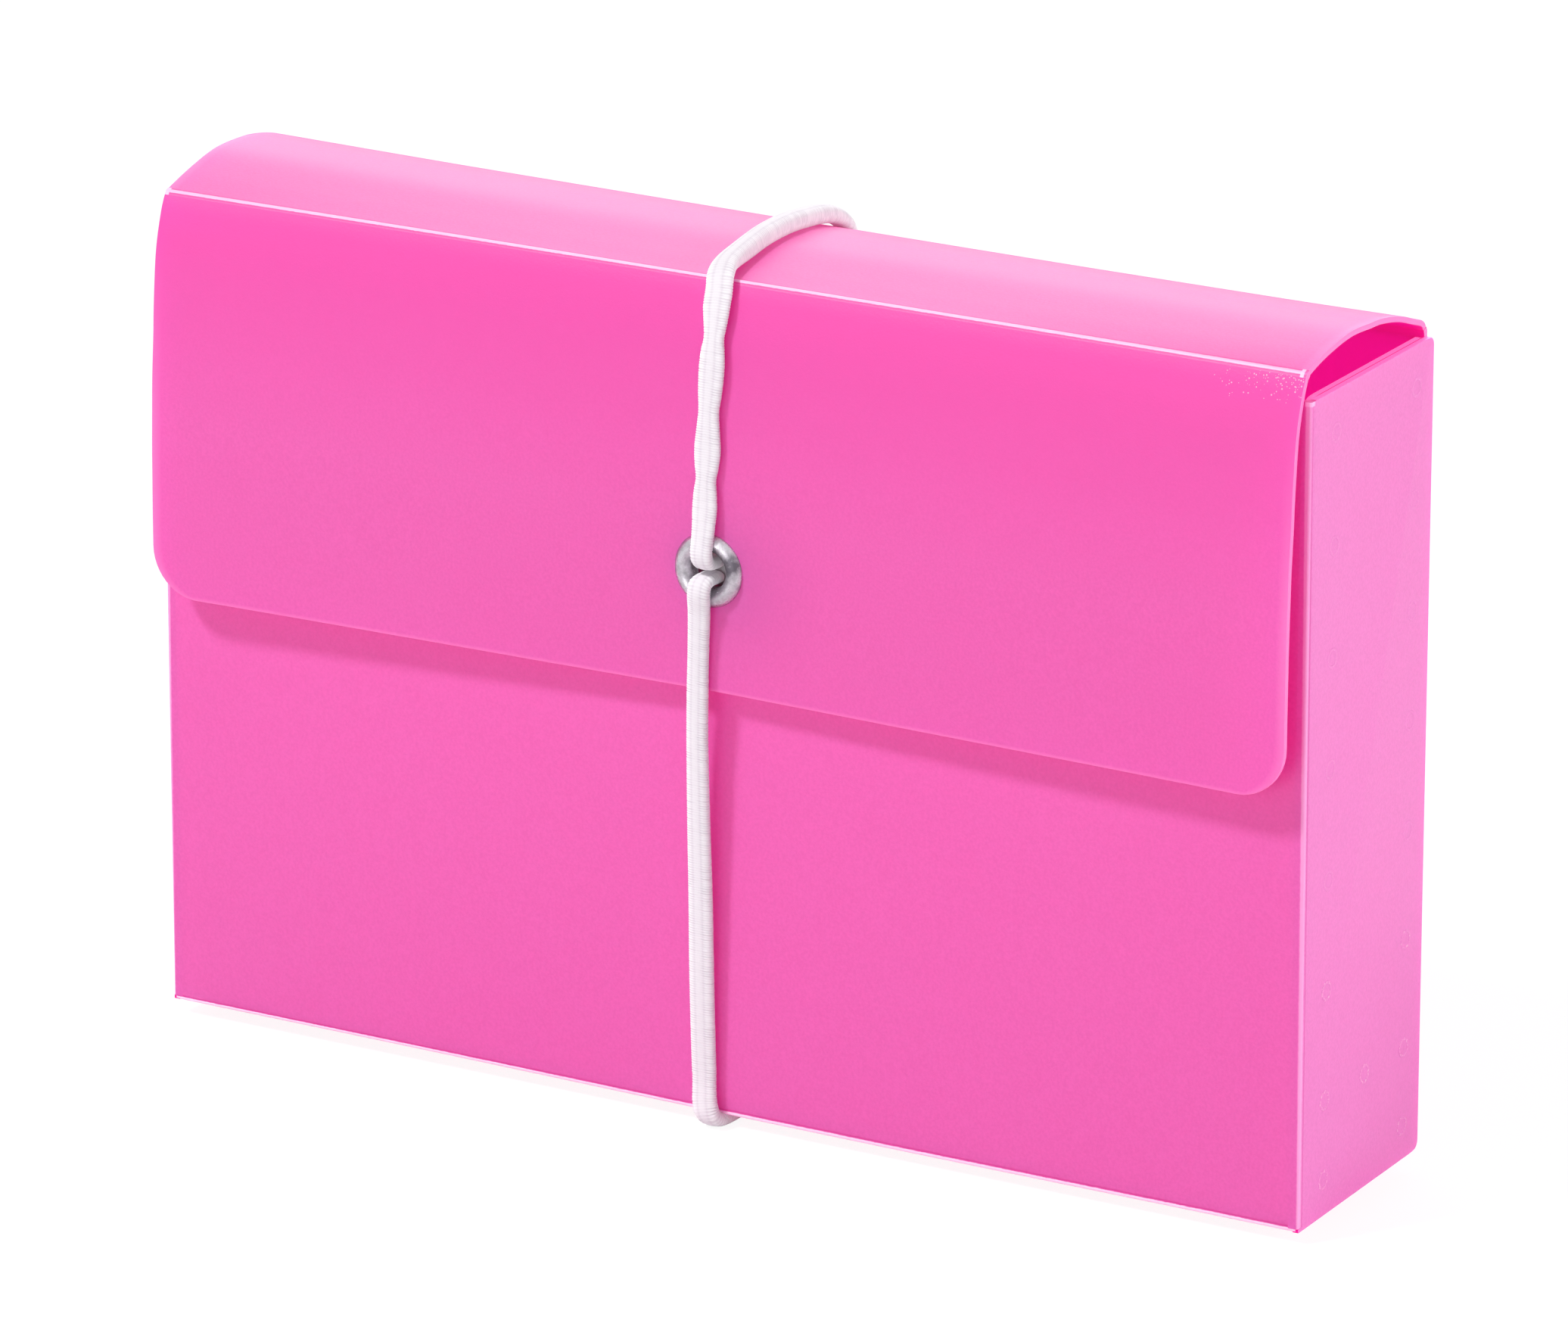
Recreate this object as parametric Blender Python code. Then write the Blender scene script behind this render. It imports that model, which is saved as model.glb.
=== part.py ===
"""Index card box folded from one scored sheet of translucent plastic and held shut by an elastic cord.

The sheet makes the front, bottom, back, side wings, inner tabs, domed lid and closure flap.
Its panels are separate pieces that meet at their creases, so that the lid and the flap can turn.
The box stands upright: X runs along the card's long edge, -Y is the front, +Z is up.
"""

import math

import bmesh
import bpy
from mathutils import Vector

# Sheet and folds, in metres
SHEET = 0.00065
PLY_GAP = 0.0002
FOLD_RADIUS = 0.0005
CREASE_WEB = 0.0004
HAIR = 0.00002

# Case
BOX_WIDTH = 0.140
BOX_DEPTH = 0.0279
WING_HEIGHT = 0.09055
WING_CORNER = 0.0018
WING_BACK_OVERHANG = 0.00035
TAB_RISE = 0.00015
TAB_EDGE_GAP = 0.0012
TAB_CORNER = 0.0012
FRONT_WALL_DROP = 0.0008
BACK_WALL_DROP = 0.00015
BOTTOM_TAB_HEIGHT = 0.016
BOTTOM_TAB_EDGE_GAP = 0.0009
BOTTOM_TAB_CORNER = 0.003
CREASE_RELIEF = 0.0012

# Spot welds that hold the wings to the tabs
WELD_RADIUS = 0.001
WELD_LOW_HEIGHT = 0.0038
WELD_TAB_HEIGHT = 0.0127
WELD_PITCH = 0.0122
WELD_TOP_MARGIN = 0.003
WELD_FRONT_INSET = 0.0057
WELD_BACK_INSET = 0.0039

# Domed lid
LID_INSET = 0.0007
LID_FRONT_SETBACK = 0.00025
LID_FRONT_RISE = 0.00262
LID_BACK_RISE = 0.00055
DOME_RISE = 0.0032
LID_CREASE_REACH = 0.0009
DOME_DEPTH_SHARES = (0, 0.17, 0.36, 0.55, 0.65, 0.77, 0.86, 0.94, 0.975, 1)
DOME_RISE_SHARES = (0, 0.46, 0.87, 1, 0.99, 0.89, 0.74, 0.53, 0.28, 0)

# Closure flap, whose lower edge the cord pulls inwards
FLAP_HEIGHT = 0.0445
FLAP_BULGE = 0.0038
FLAP_CORNER = 0.0055
FLAP_BOW = 0.0014
FLAP_CREASE_REACH = 0.0009
FLAP_FOLD_RADIUS = 0.00085
FLAP_DROP_SHARES = (0, 0.011, 0.05, 0.14, 0.265, 0.35, 0.45, 0.53, 0.63, 0.71, 0.81, 1)
FLAP_BULGE_SHARES = (0, 0.08, 0.29, 0.58, 0.74, 0.8, 0.89, 0.93, 0.97, 0.985, 1, 1)
FLAP_COLUMN_SHARES = (0, 0.06, 0.14, 0.27, 0.45, 0.7, 1)
BOW_SPREAD = 1.3
BOW_FALL = 3

# Eyelet and its washer
EYELET_DROP = 0.0312
EYELET_BORE = 0.0021
EYELET_WALL = 0.00025
EYELET_FLANGE = 0.004
EYELET_FLANGE_RISE = 0.00075
EYELET_CURL = 0.0031
EYELET_CLEARANCE = 0.00015
WASHER_RADIUS = 0.0038
WASHER_THICKNESS = 0.00025
SEAT_GAP = 0.00008

# Elastic cord and the metal clamp on its two ends
CORD_WIDTH = 0.0028
CORD_THICKNESS = 0.0015
CORD_GAP = 0.0003
CORD_BEND_SHARE = 0.62
CORD_PAIR_GAP = 0.00018
CORD_JOINT_GAP = 0.0003
CLAMP_WIDTH = 0.0054
CLAMP_HEIGHT = 0.0048
CLAMP_GAP = 0.0003
CLAMP_CORNER = 0.0009

# Facets
ARC_STEPS = 5
CURVE_STEPS = 3
ROUND_STEPS = 32
WELD_STEPS = 12
CORD_SIDES = 10

# Places that follow from the sizes
HALF_WIDTH = BOX_WIDTH / 2
FRONT_FACE = -BOX_DEPTH / 2
WING_BACK_EDGE = BOX_DEPTH / 2
BACK_FACE = WING_BACK_EDGE - WING_BACK_OVERHANG
FOLD_OUTER = FOLD_RADIUS + SHEET
WING_INNER = HALF_WIDTH - SHEET
TAB_OUTER = WING_INNER - PLY_GAP
TAB_INNER = TAB_OUTER - SHEET
BOTTOM_TAB_OUTER = TAB_INNER - PLY_GAP
BOTTOM_TAB_INNER = BOTTOM_TAB_OUTER - SHEET
FRONT_WALL_TOP = WING_HEIGHT - FRONT_WALL_DROP
BACK_WALL_TOP = WING_HEIGHT - BACK_WALL_DROP
TAB_TOP = WING_HEIGHT + TAB_RISE
LID_HALF_WIDTH = HALF_WIDTH - LID_INSET
FRONT_CREASE = Vector((FRONT_FACE + LID_FRONT_SETBACK, WING_HEIGHT + LID_FRONT_RISE))
BACK_CREASE = Vector((BACK_FACE, WING_HEIGHT + LID_BACK_RISE))
EYELET_HEIGHT = FRONT_CREASE.y - EYELET_DROP
CORD_REACH = CORD_GAP + CORD_THICKNESS / 2


def corner_arc(before, corner, after, radius, steps=ARC_STEPS):
    """Points of the arc that rounds a corner between two straight runs."""
    if radius == 0:
        return [corner]
    to_before = (before - corner).normalized()
    to_after = (after - corner).normalized()
    half = to_before.angle(to_after) / 2
    centre = corner + (to_before + to_after).normalized() * (radius / math.sin(half))
    start = corner + to_before * (radius / math.tan(half)) - centre
    end = corner + to_after * (radius / math.tan(half)) - centre
    first = math.atan2(start.y, start.x)
    sweep = (math.atan2(end.y, end.x) - first + math.pi) % math.tau - math.pi
    angles = [first + sweep * i / steps for i in range(steps + 1)]
    return [centre + Vector((math.cos(a), math.sin(a))) * radius for a in angles]


def rounded_outline(corners, radii):
    """A closed outline whose corners have the given radii."""
    points = []
    for i, radius in enumerate(radii):
        before, corner = Vector(corners[i - 1]), Vector(corners[i])
        after = Vector(corners[(i + 1) % len(corners)])
        points += corner_arc(before, corner, after, radius)
    return points


def rounded_route(corners, radius):
    """An open route whose inner corners are rounded by one radius."""
    corners = [Vector(c) for c in corners]
    points = [corners[0]]
    for i in range(1, len(corners) - 1):
        points += corner_arc(corners[i - 1], corners[i], corners[i + 1], radius)
    return points + [corners[-1]]


def smooth_path(points, steps=CURVE_STEPS):
    """A curve through the points, as a polyline with a few steps in each span."""
    path = [points[0]]
    for i in range(len(points) - 1):
        start, end = points[i], points[i + 1]
        before = points[i - 1] if i else start * 2 - end
        after = points[i + 2] if i + 2 < len(points) else end * 2 - start
        for k in range(1, steps + 1):
            t = k / steps
            bend = before * (-t + 2 * t**2 - t**3) + start * (2 - 5 * t**2 + 3 * t**3)
            bend += end * (t + 4 * t**2 - 3 * t**3) + after * (t**3 - t**2)
            path.append(bend / 2)
    return path


def lengths_along(path):
    """Distance from the path's start to each of its points."""
    reached = [0.0]
    for a, b in zip(path, path[1:]):
        reached.append(reached[-1] + (b - a).length)
    return reached


def between(path, start, end):
    """The part of a path between two distances from its start."""
    reached = lengths_along(path)

    def at(distance):
        for i in range(len(path) - 1):
            if reached[i + 1] >= distance or i == len(path) - 2:
                share = (distance - reached[i]) / (reached[i + 1] - reached[i])
                return path[i].lerp(path[i + 1], share)

    inside = [p for p, d in zip(path, reached) if start + HAIR < d < end - HAIR]
    return [at(start)] + inside + [at(end)]


def path_length(path):
    return lengths_along(path)[-1]


def left_normals(path, ends=None):
    """Unit normals to the left of the way the path runs, with the mitre's extra length at its bends.

    ends may give the two directions that the path's neighbours run in.
    """
    steps = [(b - a).normalized() for a, b in zip(path, path[1:])]
    normals = []
    for i in range(len(path)):
        into, out = steps[max(i - 1, 0)], steps[min(i, len(steps) - 1)]
        if ends and i in (0, len(path) - 1):
            into = out = ends[0].normalized() if i == 0 else ends[1].normalized()
        along = (into + out).normalized()
        normals.append(Vector((-along.y, along.x)) / along.dot(out))
    return normals


def offset_path(path, distance):
    """The path moved to its left."""
    return [p + n * distance for p, n in zip(path, left_normals(path))]


# Ways to put a flat drawing (u, v) with a position w along its third axis into space
def across_x(u, v, w):
    return Vector((w, u, v))


def across_y(u, v, w):
    return Vector((u, w, v))


def across_z(u, v, w):
    return Vector((u, v, w))


def material(name, colour, roughness, metallic=0, transmission=0):
    made = bpy.data.materials.new(name)
    made.use_nodes = True
    shader = made.node_tree.nodes["Principled BSDF"]
    shader.inputs["Base Color"].default_value = (*colour, 1)
    shader.inputs["Roughness"].default_value = roughness
    shader.inputs["Metallic"].default_value = metallic
    shader.inputs["Transmission Weight"].default_value = transmission
    return made


def empty(name, place, parent=None):
    """A reference point that carries pieces, given by its place in the case's own frame."""
    made = bpy.data.objects.new(name, None)
    bpy.context.scene.collection.objects.link(made)
    made.parent = parent
    made["place"] = list(place)
    made.location = place - Vector(parent["place"]) if parent else place
    return made


def add_piece(name, mesh, finish, carrier):
    """Turns a finished bmesh, drawn in the case's frame, into a named object on its carrier."""
    bmesh.ops.remove_doubles(mesh, verts=mesh.verts, dist=HAIR / 10)
    bmesh.ops.recalc_face_normals(mesh, faces=mesh.faces)
    bmesh.ops.translate(mesh, verts=mesh.verts, vec=-Vector(carrier["place"]))
    data = bpy.data.meshes.new(name)
    mesh.to_mesh(data)
    mesh.free()
    data.materials.append(finish)
    made = bpy.data.objects.new(name, data)
    bpy.context.scene.collection.objects.link(made)
    made.parent = carrier
    return made


def extrude_outline(mesh, outline, low, high, to_space):
    """A flat plate with the outline's shape, from low to high along its third axis."""
    bottom = [mesh.verts.new(to_space(p.x, p.y, low)) for p in outline]
    top = [mesh.verts.new(to_space(p.x, p.y, high)) for p in outline]
    mesh.faces.new(bottom)
    mesh.faces.new(top)
    for i in range(len(outline)):
        mesh.faces.new((bottom[i - 1], bottom[i], top[i], top[i - 1]))


def plate(name, outline, low, high, to_space, finish, carrier):
    mesh = bmesh.new()
    extrude_outline(mesh, outline, low, high, to_space)
    return add_piece(name, mesh, finish, carrier)


def bent_sheet(name, path, thickness, spans, columns, to_space, finish, carrier, push=None, ends=None):
    """A sheet that follows a path with its outer face to the path's left.

    spans holds each path point's two ends along the third axis, and columns the shares between them.
    push moves both faces along the normal, by place and by the path point's number, and
    ends gives the directions of the path's neighbours.
    """
    mesh = bmesh.new()
    normals = left_normals(path, ends)
    outer, inner = [], []
    for i, (point, normal) in enumerate(zip(path, normals)):
        low, high = spans[i]
        places = [low + (high - low) * share for share in columns]
        moved = [point + normal * (push(w, i) if push else 0) for w in places]
        outer.append([mesh.verts.new(to_space(p.x, p.y, w)) for p, w in zip(moved, places)])
        moved = [p - normal * thickness[i] for p in moved]
        inner.append([mesh.verts.new(to_space(p.x, p.y, w)) for p, w in zip(moved, places)])
    for i in range(len(path) - 1):
        for j in range(len(columns) - 1):
            for face in (outer, inner):
                mesh.faces.new((face[i][j], face[i + 1][j], face[i + 1][j + 1], face[i][j + 1]))
        for j in (0, -1):
            mesh.faces.new((outer[i][j], outer[i + 1][j], inner[i + 1][j], inner[i][j]))
    for i in (0, -1):
        for j in range(len(columns) - 1):
            mesh.faces.new((outer[i][j], outer[i][j + 1], inner[i][j + 1], inner[i][j]))
    return add_piece(name, mesh, finish, carrier)


def crease(name, before, corner, after, start, end, to_space, finish, carrier):
    """A scored bend between two panels: as thick as the sheet at its ends and thinned to a web between."""
    path = corner_arc(before, corner, after, FOLD_OUTER)
    path = between(path, HAIR, path_length(path) - HAIR)
    spans = [(start, end)] * len(path)
    return bent_sheet(name, path, crease_thickness(path), spans, (0, 1), to_space, finish, carrier,
                      ends=(corner - before, after - corner))


def crease_thickness(path):
    last = len(path) - 1
    return [SHEET - (SHEET - CREASE_WEB) * math.sin(math.pi * i / last) for i in range(last + 1)]


def turned(name, profile, centre, finish, carrier):
    """A ring turned about the Y axis through a centre: profile points are (radius, place along Y)."""
    mesh = bmesh.new()
    rings = []
    for k in range(ROUND_STEPS):
        angle = math.tau * k / ROUND_STEPS
        around = Vector((math.cos(angle), 0, math.sin(angle)))
        ring = [centre + around * p.x + Vector((0, p.y, 0)) for p in profile]
        rings.append([mesh.verts.new(v) for v in ring])
    for k in range(ROUND_STEPS):
        for i in range(len(profile)):
            near, far = rings[k - 1], rings[k]
            mesh.faces.new((near[i - 1], near[i], far[i], far[i - 1]))
    return add_piece(name, mesh, finish, carrier)


def strand(name, route, finish, carrier):
    """A length of the flat oval cord along a route in the plane x = 0."""
    mesh = bmesh.new()
    normals = left_normals(route)
    rings = []
    for point, normal in zip(route, normals):
        ring = []
        for k in range(CORD_SIDES):
            angle = math.tau * (k + 0.5) / CORD_SIDES
            p = point + normal * (CORD_THICKNESS / 2 * math.sin(angle))
            ring.append(mesh.verts.new((CORD_WIDTH / 2 * math.cos(angle), p.x, p.y)))
        rings.append(ring)
    for near, far in zip(rings, rings[1:]):
        for k in range(CORD_SIDES):
            mesh.faces.new((near[k - 1], near[k], far[k], far[k - 1]))
    mesh.faces.new(rings[0])
    mesh.faces.new(rings[-1])
    return add_piece(name, mesh, finish, carrier)


def dome_path():
    """The lid's outer face, from the flap's crease to the back crease."""
    points = []
    for depth, rise in zip(DOME_DEPTH_SHARES, DOME_RISE_SHARES):
        points.append(FRONT_CREASE.lerp(BACK_CREASE, depth) + Vector((0, DOME_RISE * rise)))
    return smooth_path(points)


def flap_path():
    """The flap's outer face at its ends, from its lower edge up to its crease."""
    points = []
    for drop, bulge in zip(FLAP_DROP_SHARES, FLAP_BULGE_SHARES):
        points.append(FRONT_CREASE - Vector((FLAP_BULGE * bulge, FLAP_HEIGHT * drop)))
    return smooth_path(points[::-1])


def bow(x, drop_share):
    """How far the cord pulls the flap inwards at a place along its width and height."""
    spread = (1 - abs(x) / LID_HALF_WIDTH) ** BOW_SPREAD
    return FLAP_BOW * spread * drop_share**BOW_FALL


def flap_face(x, z):
    """The Y place of the flap's outer face."""
    path = flap_path()
    for low, high in zip(path, path[1:]):
        if low.y <= z <= high.y:
            y = low.lerp(high, (z - low.y) / (high.y - low.y)).x
            return y + bow(x, (FRONT_CREASE.y - z) / FLAP_HEIGHT)
    return path[0].x


def clear_scene():
    for old in list(bpy.data.objects):
        bpy.data.objects.remove(old)


def make_finishes():
    """Colours are linear, from the photograph's own reading of each surface."""
    names = {
        "front": ("pink_sheet_front", (0.85, 0.13, 0.47), 0.42, 0, 0.2),
        "side": ("pink_sheet_side", (0.9, 0.27, 0.6), 0.42, 0, 0.2),
        "inside": ("pink_sheet_inside", (0.87, 0.02, 0.24), 0.5, 0, 0.2),
        "lid": ("pink_sheet_lid", (0.95, 0.4, 0.68), 0.4, 0, 0.3),
        "flap": ("pink_sheet_flap", (0.9, 0.13, 0.48), 0.4, 0, 0.2),
        "crease": ("scored_crease", (0.95, 0.55, 0.78), 0.5, 0, 0.1),
        "metal": ("nickel_plate", (0.62, 0.6, 0.62), 0.25, 1, 0),
        "cord": ("white_elastic", (0.87, 0.83, 0.87), 0.85, 0, 0),
    }
    return {key: material(*values) for key, values in names.items()}


def finish_for(base, name):
    """Each piece has its own copy of its finish."""
    made = base.copy()
    made.name = name
    return made


def make_walls(finish, case):
    """Front, bottom and back panels."""
    side = HALF_WIDTH - FOLD_OUTER
    front = [(-side, FOLD_OUTER), (side, FOLD_OUTER), (side, FRONT_WALL_TOP), (-side, FRONT_WALL_TOP)]
    outline = rounded_outline(front, (0, 0, 0, 0))
    plate("front_wall", outline, FRONT_FACE, FRONT_FACE + SHEET, across_y,
          finish_for(finish["front"], "front_wall_sheet"), case)
    side = TAB_OUTER - FOLD_OUTER
    back = [(-side, FOLD_OUTER), (side, FOLD_OUTER), (side, BACK_WALL_TOP), (-side, BACK_WALL_TOP)]
    outline = rounded_outline(back, (0, 0, 0, 0))
    plate("back_wall", outline, BACK_FACE - SHEET, BACK_FACE, across_y,
          finish_for(finish["front"], "back_wall_sheet"), case)
    side = BOTTOM_TAB_OUTER - FOLD_OUTER
    near, far = FRONT_FACE + FOLD_OUTER, BACK_FACE - FOLD_OUTER
    bottom = [(-side, near), (side, near), (side, far), (-side, far)]
    outline = rounded_outline(bottom, (0, 0, 0, 0))
    plate("bottom_panel", outline, 0, SHEET, across_z,
          finish_for(finish["front"], "bottom_panel_sheet"), case)


def make_side(finish, case, name, hand):
    """One side's outer wing, inner tab and bottom tab, with hand 1 on the right and -1 on the left."""
    near = FRONT_FACE + FOLD_OUTER
    wing = [(near, 0), (WING_BACK_EDGE, 0), (WING_BACK_EDGE, WING_HEIGHT), (near, WING_HEIGHT)]
    outline = rounded_outline(wing, (0, WING_CORNER, WING_CORNER, 0))
    low, high = sorted((hand * WING_INNER, hand * HALF_WIDTH))
    plate(f"side_wing_{name}", outline, low, high, across_x,
          finish_for(finish["side"], f"side_wing_{name}_sheet"), case)

    near, far = FRONT_FACE + SHEET + TAB_EDGE_GAP, BACK_FACE - FOLD_OUTER
    low_edge = SHEET + FOLD_RADIUS
    tab = [(near, low_edge), (far, low_edge), (far, TAB_TOP), (near, TAB_TOP)]
    outline = rounded_outline(tab, (TAB_CORNER, 0, 0, TAB_CORNER))
    low, high = sorted((hand * TAB_INNER, hand * TAB_OUTER))
    plate(f"inner_tab_{name}", outline, low, high, across_x,
          finish_for(finish["side"], f"inner_tab_{name}_sheet"), case)

    near, far = FRONT_FACE + SHEET + BOTTOM_TAB_EDGE_GAP, BACK_FACE - SHEET - BOTTOM_TAB_EDGE_GAP
    tab = [(near, FOLD_OUTER), (far, FOLD_OUTER), (far, BOTTOM_TAB_HEIGHT), (near, BOTTOM_TAB_HEIGHT)]
    outline = rounded_outline(tab, (0, 0, BOTTOM_TAB_CORNER, BOTTOM_TAB_CORNER))
    low, high = sorted((hand * BOTTOM_TAB_INNER, hand * BOTTOM_TAB_OUTER))
    plate(f"bottom_tab_{name}", outline, low, high, across_x,
          finish_for(finish["side"], f"bottom_tab_{name}_sheet"), case)


def make_case_creases(finish, case):
    """The scored bends between the case's panels, each stopped short of the corners by a relief."""
    reach = FOLD_OUTER * 2
    front_corner = Vector((FRONT_FACE, 0))
    back_corner = Vector((BACK_FACE, 0))
    up, right = Vector((0, reach)), Vector((reach, 0))
    side = BOTTOM_TAB_OUTER - FOLD_OUTER
    crease("crease_front_bottom", front_corner + right, front_corner, front_corner + up, -side, side,
           across_x, finish_for(finish["crease"], "crease_front_bottom_score"), case)
    crease("crease_back_bottom", back_corner + up, back_corner, back_corner - right, -side, side,
           across_x, finish_for(finish["crease"], "crease_back_bottom_score"), case)
    for name, hand in (("left", -1), ("right", 1)):
        across = Vector((reach * hand, 0))
        # Seen from above, a path that keeps the outer face on its left runs clockwise round the box
        corner = Vector((HALF_WIDTH * hand, FRONT_FACE))
        ends = [corner - across, corner + up]
        ends = ends if hand == -1 else ends[::-1]
        crease(f"crease_front_{name}", ends[0], corner, ends[1], CREASE_RELIEF, FRONT_WALL_TOP,
               across_z, finish_for(finish["crease"], f"crease_front_{name}_score"), case)
        corner = Vector((TAB_OUTER * hand, BACK_FACE))
        ends = [corner - up, corner - across]
        ends = ends if hand == -1 else ends[::-1]
        crease(f"crease_back_{name}", ends[0], corner, ends[1], CREASE_RELIEF, BACK_WALL_TOP,
               across_z, finish_for(finish["crease"], f"crease_back_{name}_score"), case)
        corner = Vector((BOTTOM_TAB_OUTER * hand, 0))
        ends = [corner - across, corner + up]
        ends = ends if hand == -1 else ends[::-1]
        crease(f"crease_bottom_{name}", ends[0], corner, ends[1], FRONT_FACE + FOLD_OUTER,
               BACK_FACE - FOLD_OUTER, across_y,
               finish_for(finish["crease"], f"crease_bottom_{name}_score"), case)


def weld_places():
    """Spot welds as (depth, height, whether the bottom tab lies there too)."""
    front = FRONT_FACE + WELD_FRONT_INSET
    back = WING_BACK_EDGE - WELD_BACK_INSET
    rows = [WELD_LOW_HEIGHT, WELD_TAB_HEIGHT]
    while rows[-1] + WELD_PITCH < WING_HEIGHT - WELD_TOP_MARGIN:
        rows.append(rows[-1] + WELD_PITCH)
    places = [(y, z, z < BOTTOM_TAB_HEIGHT - WELD_RADIUS) for z in rows for y in (front, back)]
    return places + [((front + back) / 2, WELD_TAB_HEIGHT, True)]


def make_welds(name, hand):
    """Fused spots that stand on the two tabs and bridge the gaps to the plies outside them."""
    gaps = {"inner_tab": (TAB_OUTER, WING_INNER), "bottom_tab": (BOTTOM_TAB_OUTER, TAB_INNER)}
    for tab, (inner, outer) in gaps.items():
        sheet = bpy.data.objects[f"{tab}_{name}"]
        mesh = bmesh.new()
        for y, z, through in weld_places():
            if tab == "bottom_tab" and not through:
                continue
            circle = []
            for k in range(WELD_STEPS):
                angle = math.tau * k / WELD_STEPS
                circle.append(Vector((y + WELD_RADIUS * math.cos(angle), z + WELD_RADIUS * math.sin(angle))))
            low, high = sorted((hand * (inner - SHEET / 2), hand * (outer - HAIR)))
            extrude_outline(mesh, circle, low, high, across_x)
        spots = add_piece(f"{tab}_{name}_welds", mesh, sheet.data.materials[0], sheet.parent)
        spots.hide_render = True
        spots.display_type = "WIRE"
        fused = sheet.modifiers.new("welds", "BOOLEAN")
        fused.operation = "UNION"
        fused.object = spots


def make_lid(finish, case, lid):
    """Domed lid panel and the crease that joins it to the back wall."""
    path = dome_path()
    length = path_length(path)
    panel = between(path, FLAP_CREASE_REACH + HAIR, length - LID_CREASE_REACH - HAIR)
    spans = [(-LID_HALF_WIDTH, LID_HALF_WIDTH)] * len(panel)
    bent_sheet("lid_panel", panel, [SHEET] * len(panel), spans, (0, 0.5, 1), across_x,
               finish_for(finish["lid"], "lid_panel_sheet"), lid)

    start = between(path, length - LID_CREASE_REACH, length)[0]
    end = Vector((BACK_FACE, BACK_WALL_TOP + HAIR))
    radius = (BACK_CREASE - end).length * math.tan((start - BACK_CREASE).angle(end - BACK_CREASE) / 2)
    bend = corner_arc(start, BACK_CREASE, end, min(radius, FOLD_OUTER))
    bend = [start] + bend[1:-1] + [end]
    half = TAB_OUTER - FOLD_OUTER
    spans = [(-half, half)] * len(bend)
    bent_sheet("lid_hinge_crease", bend, crease_thickness(bend), spans, (0, 1), across_x,
               finish_for(finish["crease"], "lid_hinge_crease_score"), case,
               ends=(panel[-1] - panel[-2], end - BACK_CREASE))


def make_flap(finish, flap, lid):
    """Closure flap with its eyelet hole, and the crease that joins it to the lid."""
    path = flap_path()
    length = path_length(path)
    straight = between(path, FLAP_CORNER, length - FLAP_CREASE_REACH - HAIR)
    corner = []
    for k in range(ARC_STEPS):
        angle = math.pi / 2 * k / ARC_STEPS
        corner.append(between(path, FLAP_CORNER * (1 - math.cos(angle)), length)[0])
    panel = corner + straight
    narrow = [FLAP_CORNER * (1 - math.sin(math.pi / 2 * k / ARC_STEPS)) for k in range(ARC_STEPS)]
    narrow += [0] * len(straight)
    spans = [(n - LID_HALF_WIDTH, LID_HALF_WIDTH - n) for n in narrow]
    columns = [0.5 - share / 2 for share in FLAP_COLUMN_SHARES[::-1]]
    columns += [0.5 + share / 2 for share in FLAP_COLUMN_SHARES[1:]]

    def push(x, i):
        return -bow(x, (FRONT_CREASE.y - panel[i].y) / FLAP_HEIGHT)

    sheet = bent_sheet("closure_flap", panel, [SHEET] * len(panel), spans, columns, across_x,
                       finish_for(finish["flap"], "closure_flap_sheet"), flap, push)
    cut_eyelet_hole(sheet, flap)

    before = between(path, length - FLAP_CREASE_REACH, length)[0]
    top = between(dome_path(), FLAP_CREASE_REACH, length)
    bend = corner_arc(before, FRONT_CREASE, top[0], FLAP_FOLD_RADIUS)
    bend = [before] + bend + [top[0]]
    spans = [(-LID_HALF_WIDTH, LID_HALF_WIDTH)] * len(bend)
    bent_sheet("flap_hinge_crease", bend, crease_thickness(bend), spans, (0, 1), across_x,
               finish_for(finish["crease"], "flap_hinge_crease_score"), lid,
               ends=(panel[-1] - panel[-2], top[1] - top[0]))


def cut_eyelet_hole(sheet, flap):
    """Drills the flap for the eyelet's barrel."""
    outline = []
    radius = EYELET_BORE + EYELET_WALL + EYELET_CLEARANCE
    for k in range(ROUND_STEPS):
        angle = math.tau * k / ROUND_STEPS
        outline.append(Vector((radius * math.cos(angle), EYELET_HEIGHT + radius * math.sin(angle))))
    middle = flap_face(0, EYELET_HEIGHT)
    drill = plate("eyelet_drill", outline, middle - SHEET * 3, middle + SHEET * 4, across_y,
                  sheet.data.materials[0], flap)
    drill.hide_render = True
    drill.display_type = "WIRE"
    cut = sheet.modifiers.new("eyelet_hole", "BOOLEAN")
    cut.operation = "DIFFERENCE"
    cut.object = drill


def eyelet_seats():
    """Y places where the flange meets the flap's outer face and the washer its inner face."""
    reach = EYELET_FLANGE
    around = [(x, EYELET_HEIGHT + z) for x in (-reach, 0, reach) for z in (-reach, 0, reach)]
    faces = [flap_face(x, z) for x, z in around]
    return min(faces) - SEAT_GAP, max(faces) + SHEET + SEAT_GAP


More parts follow.
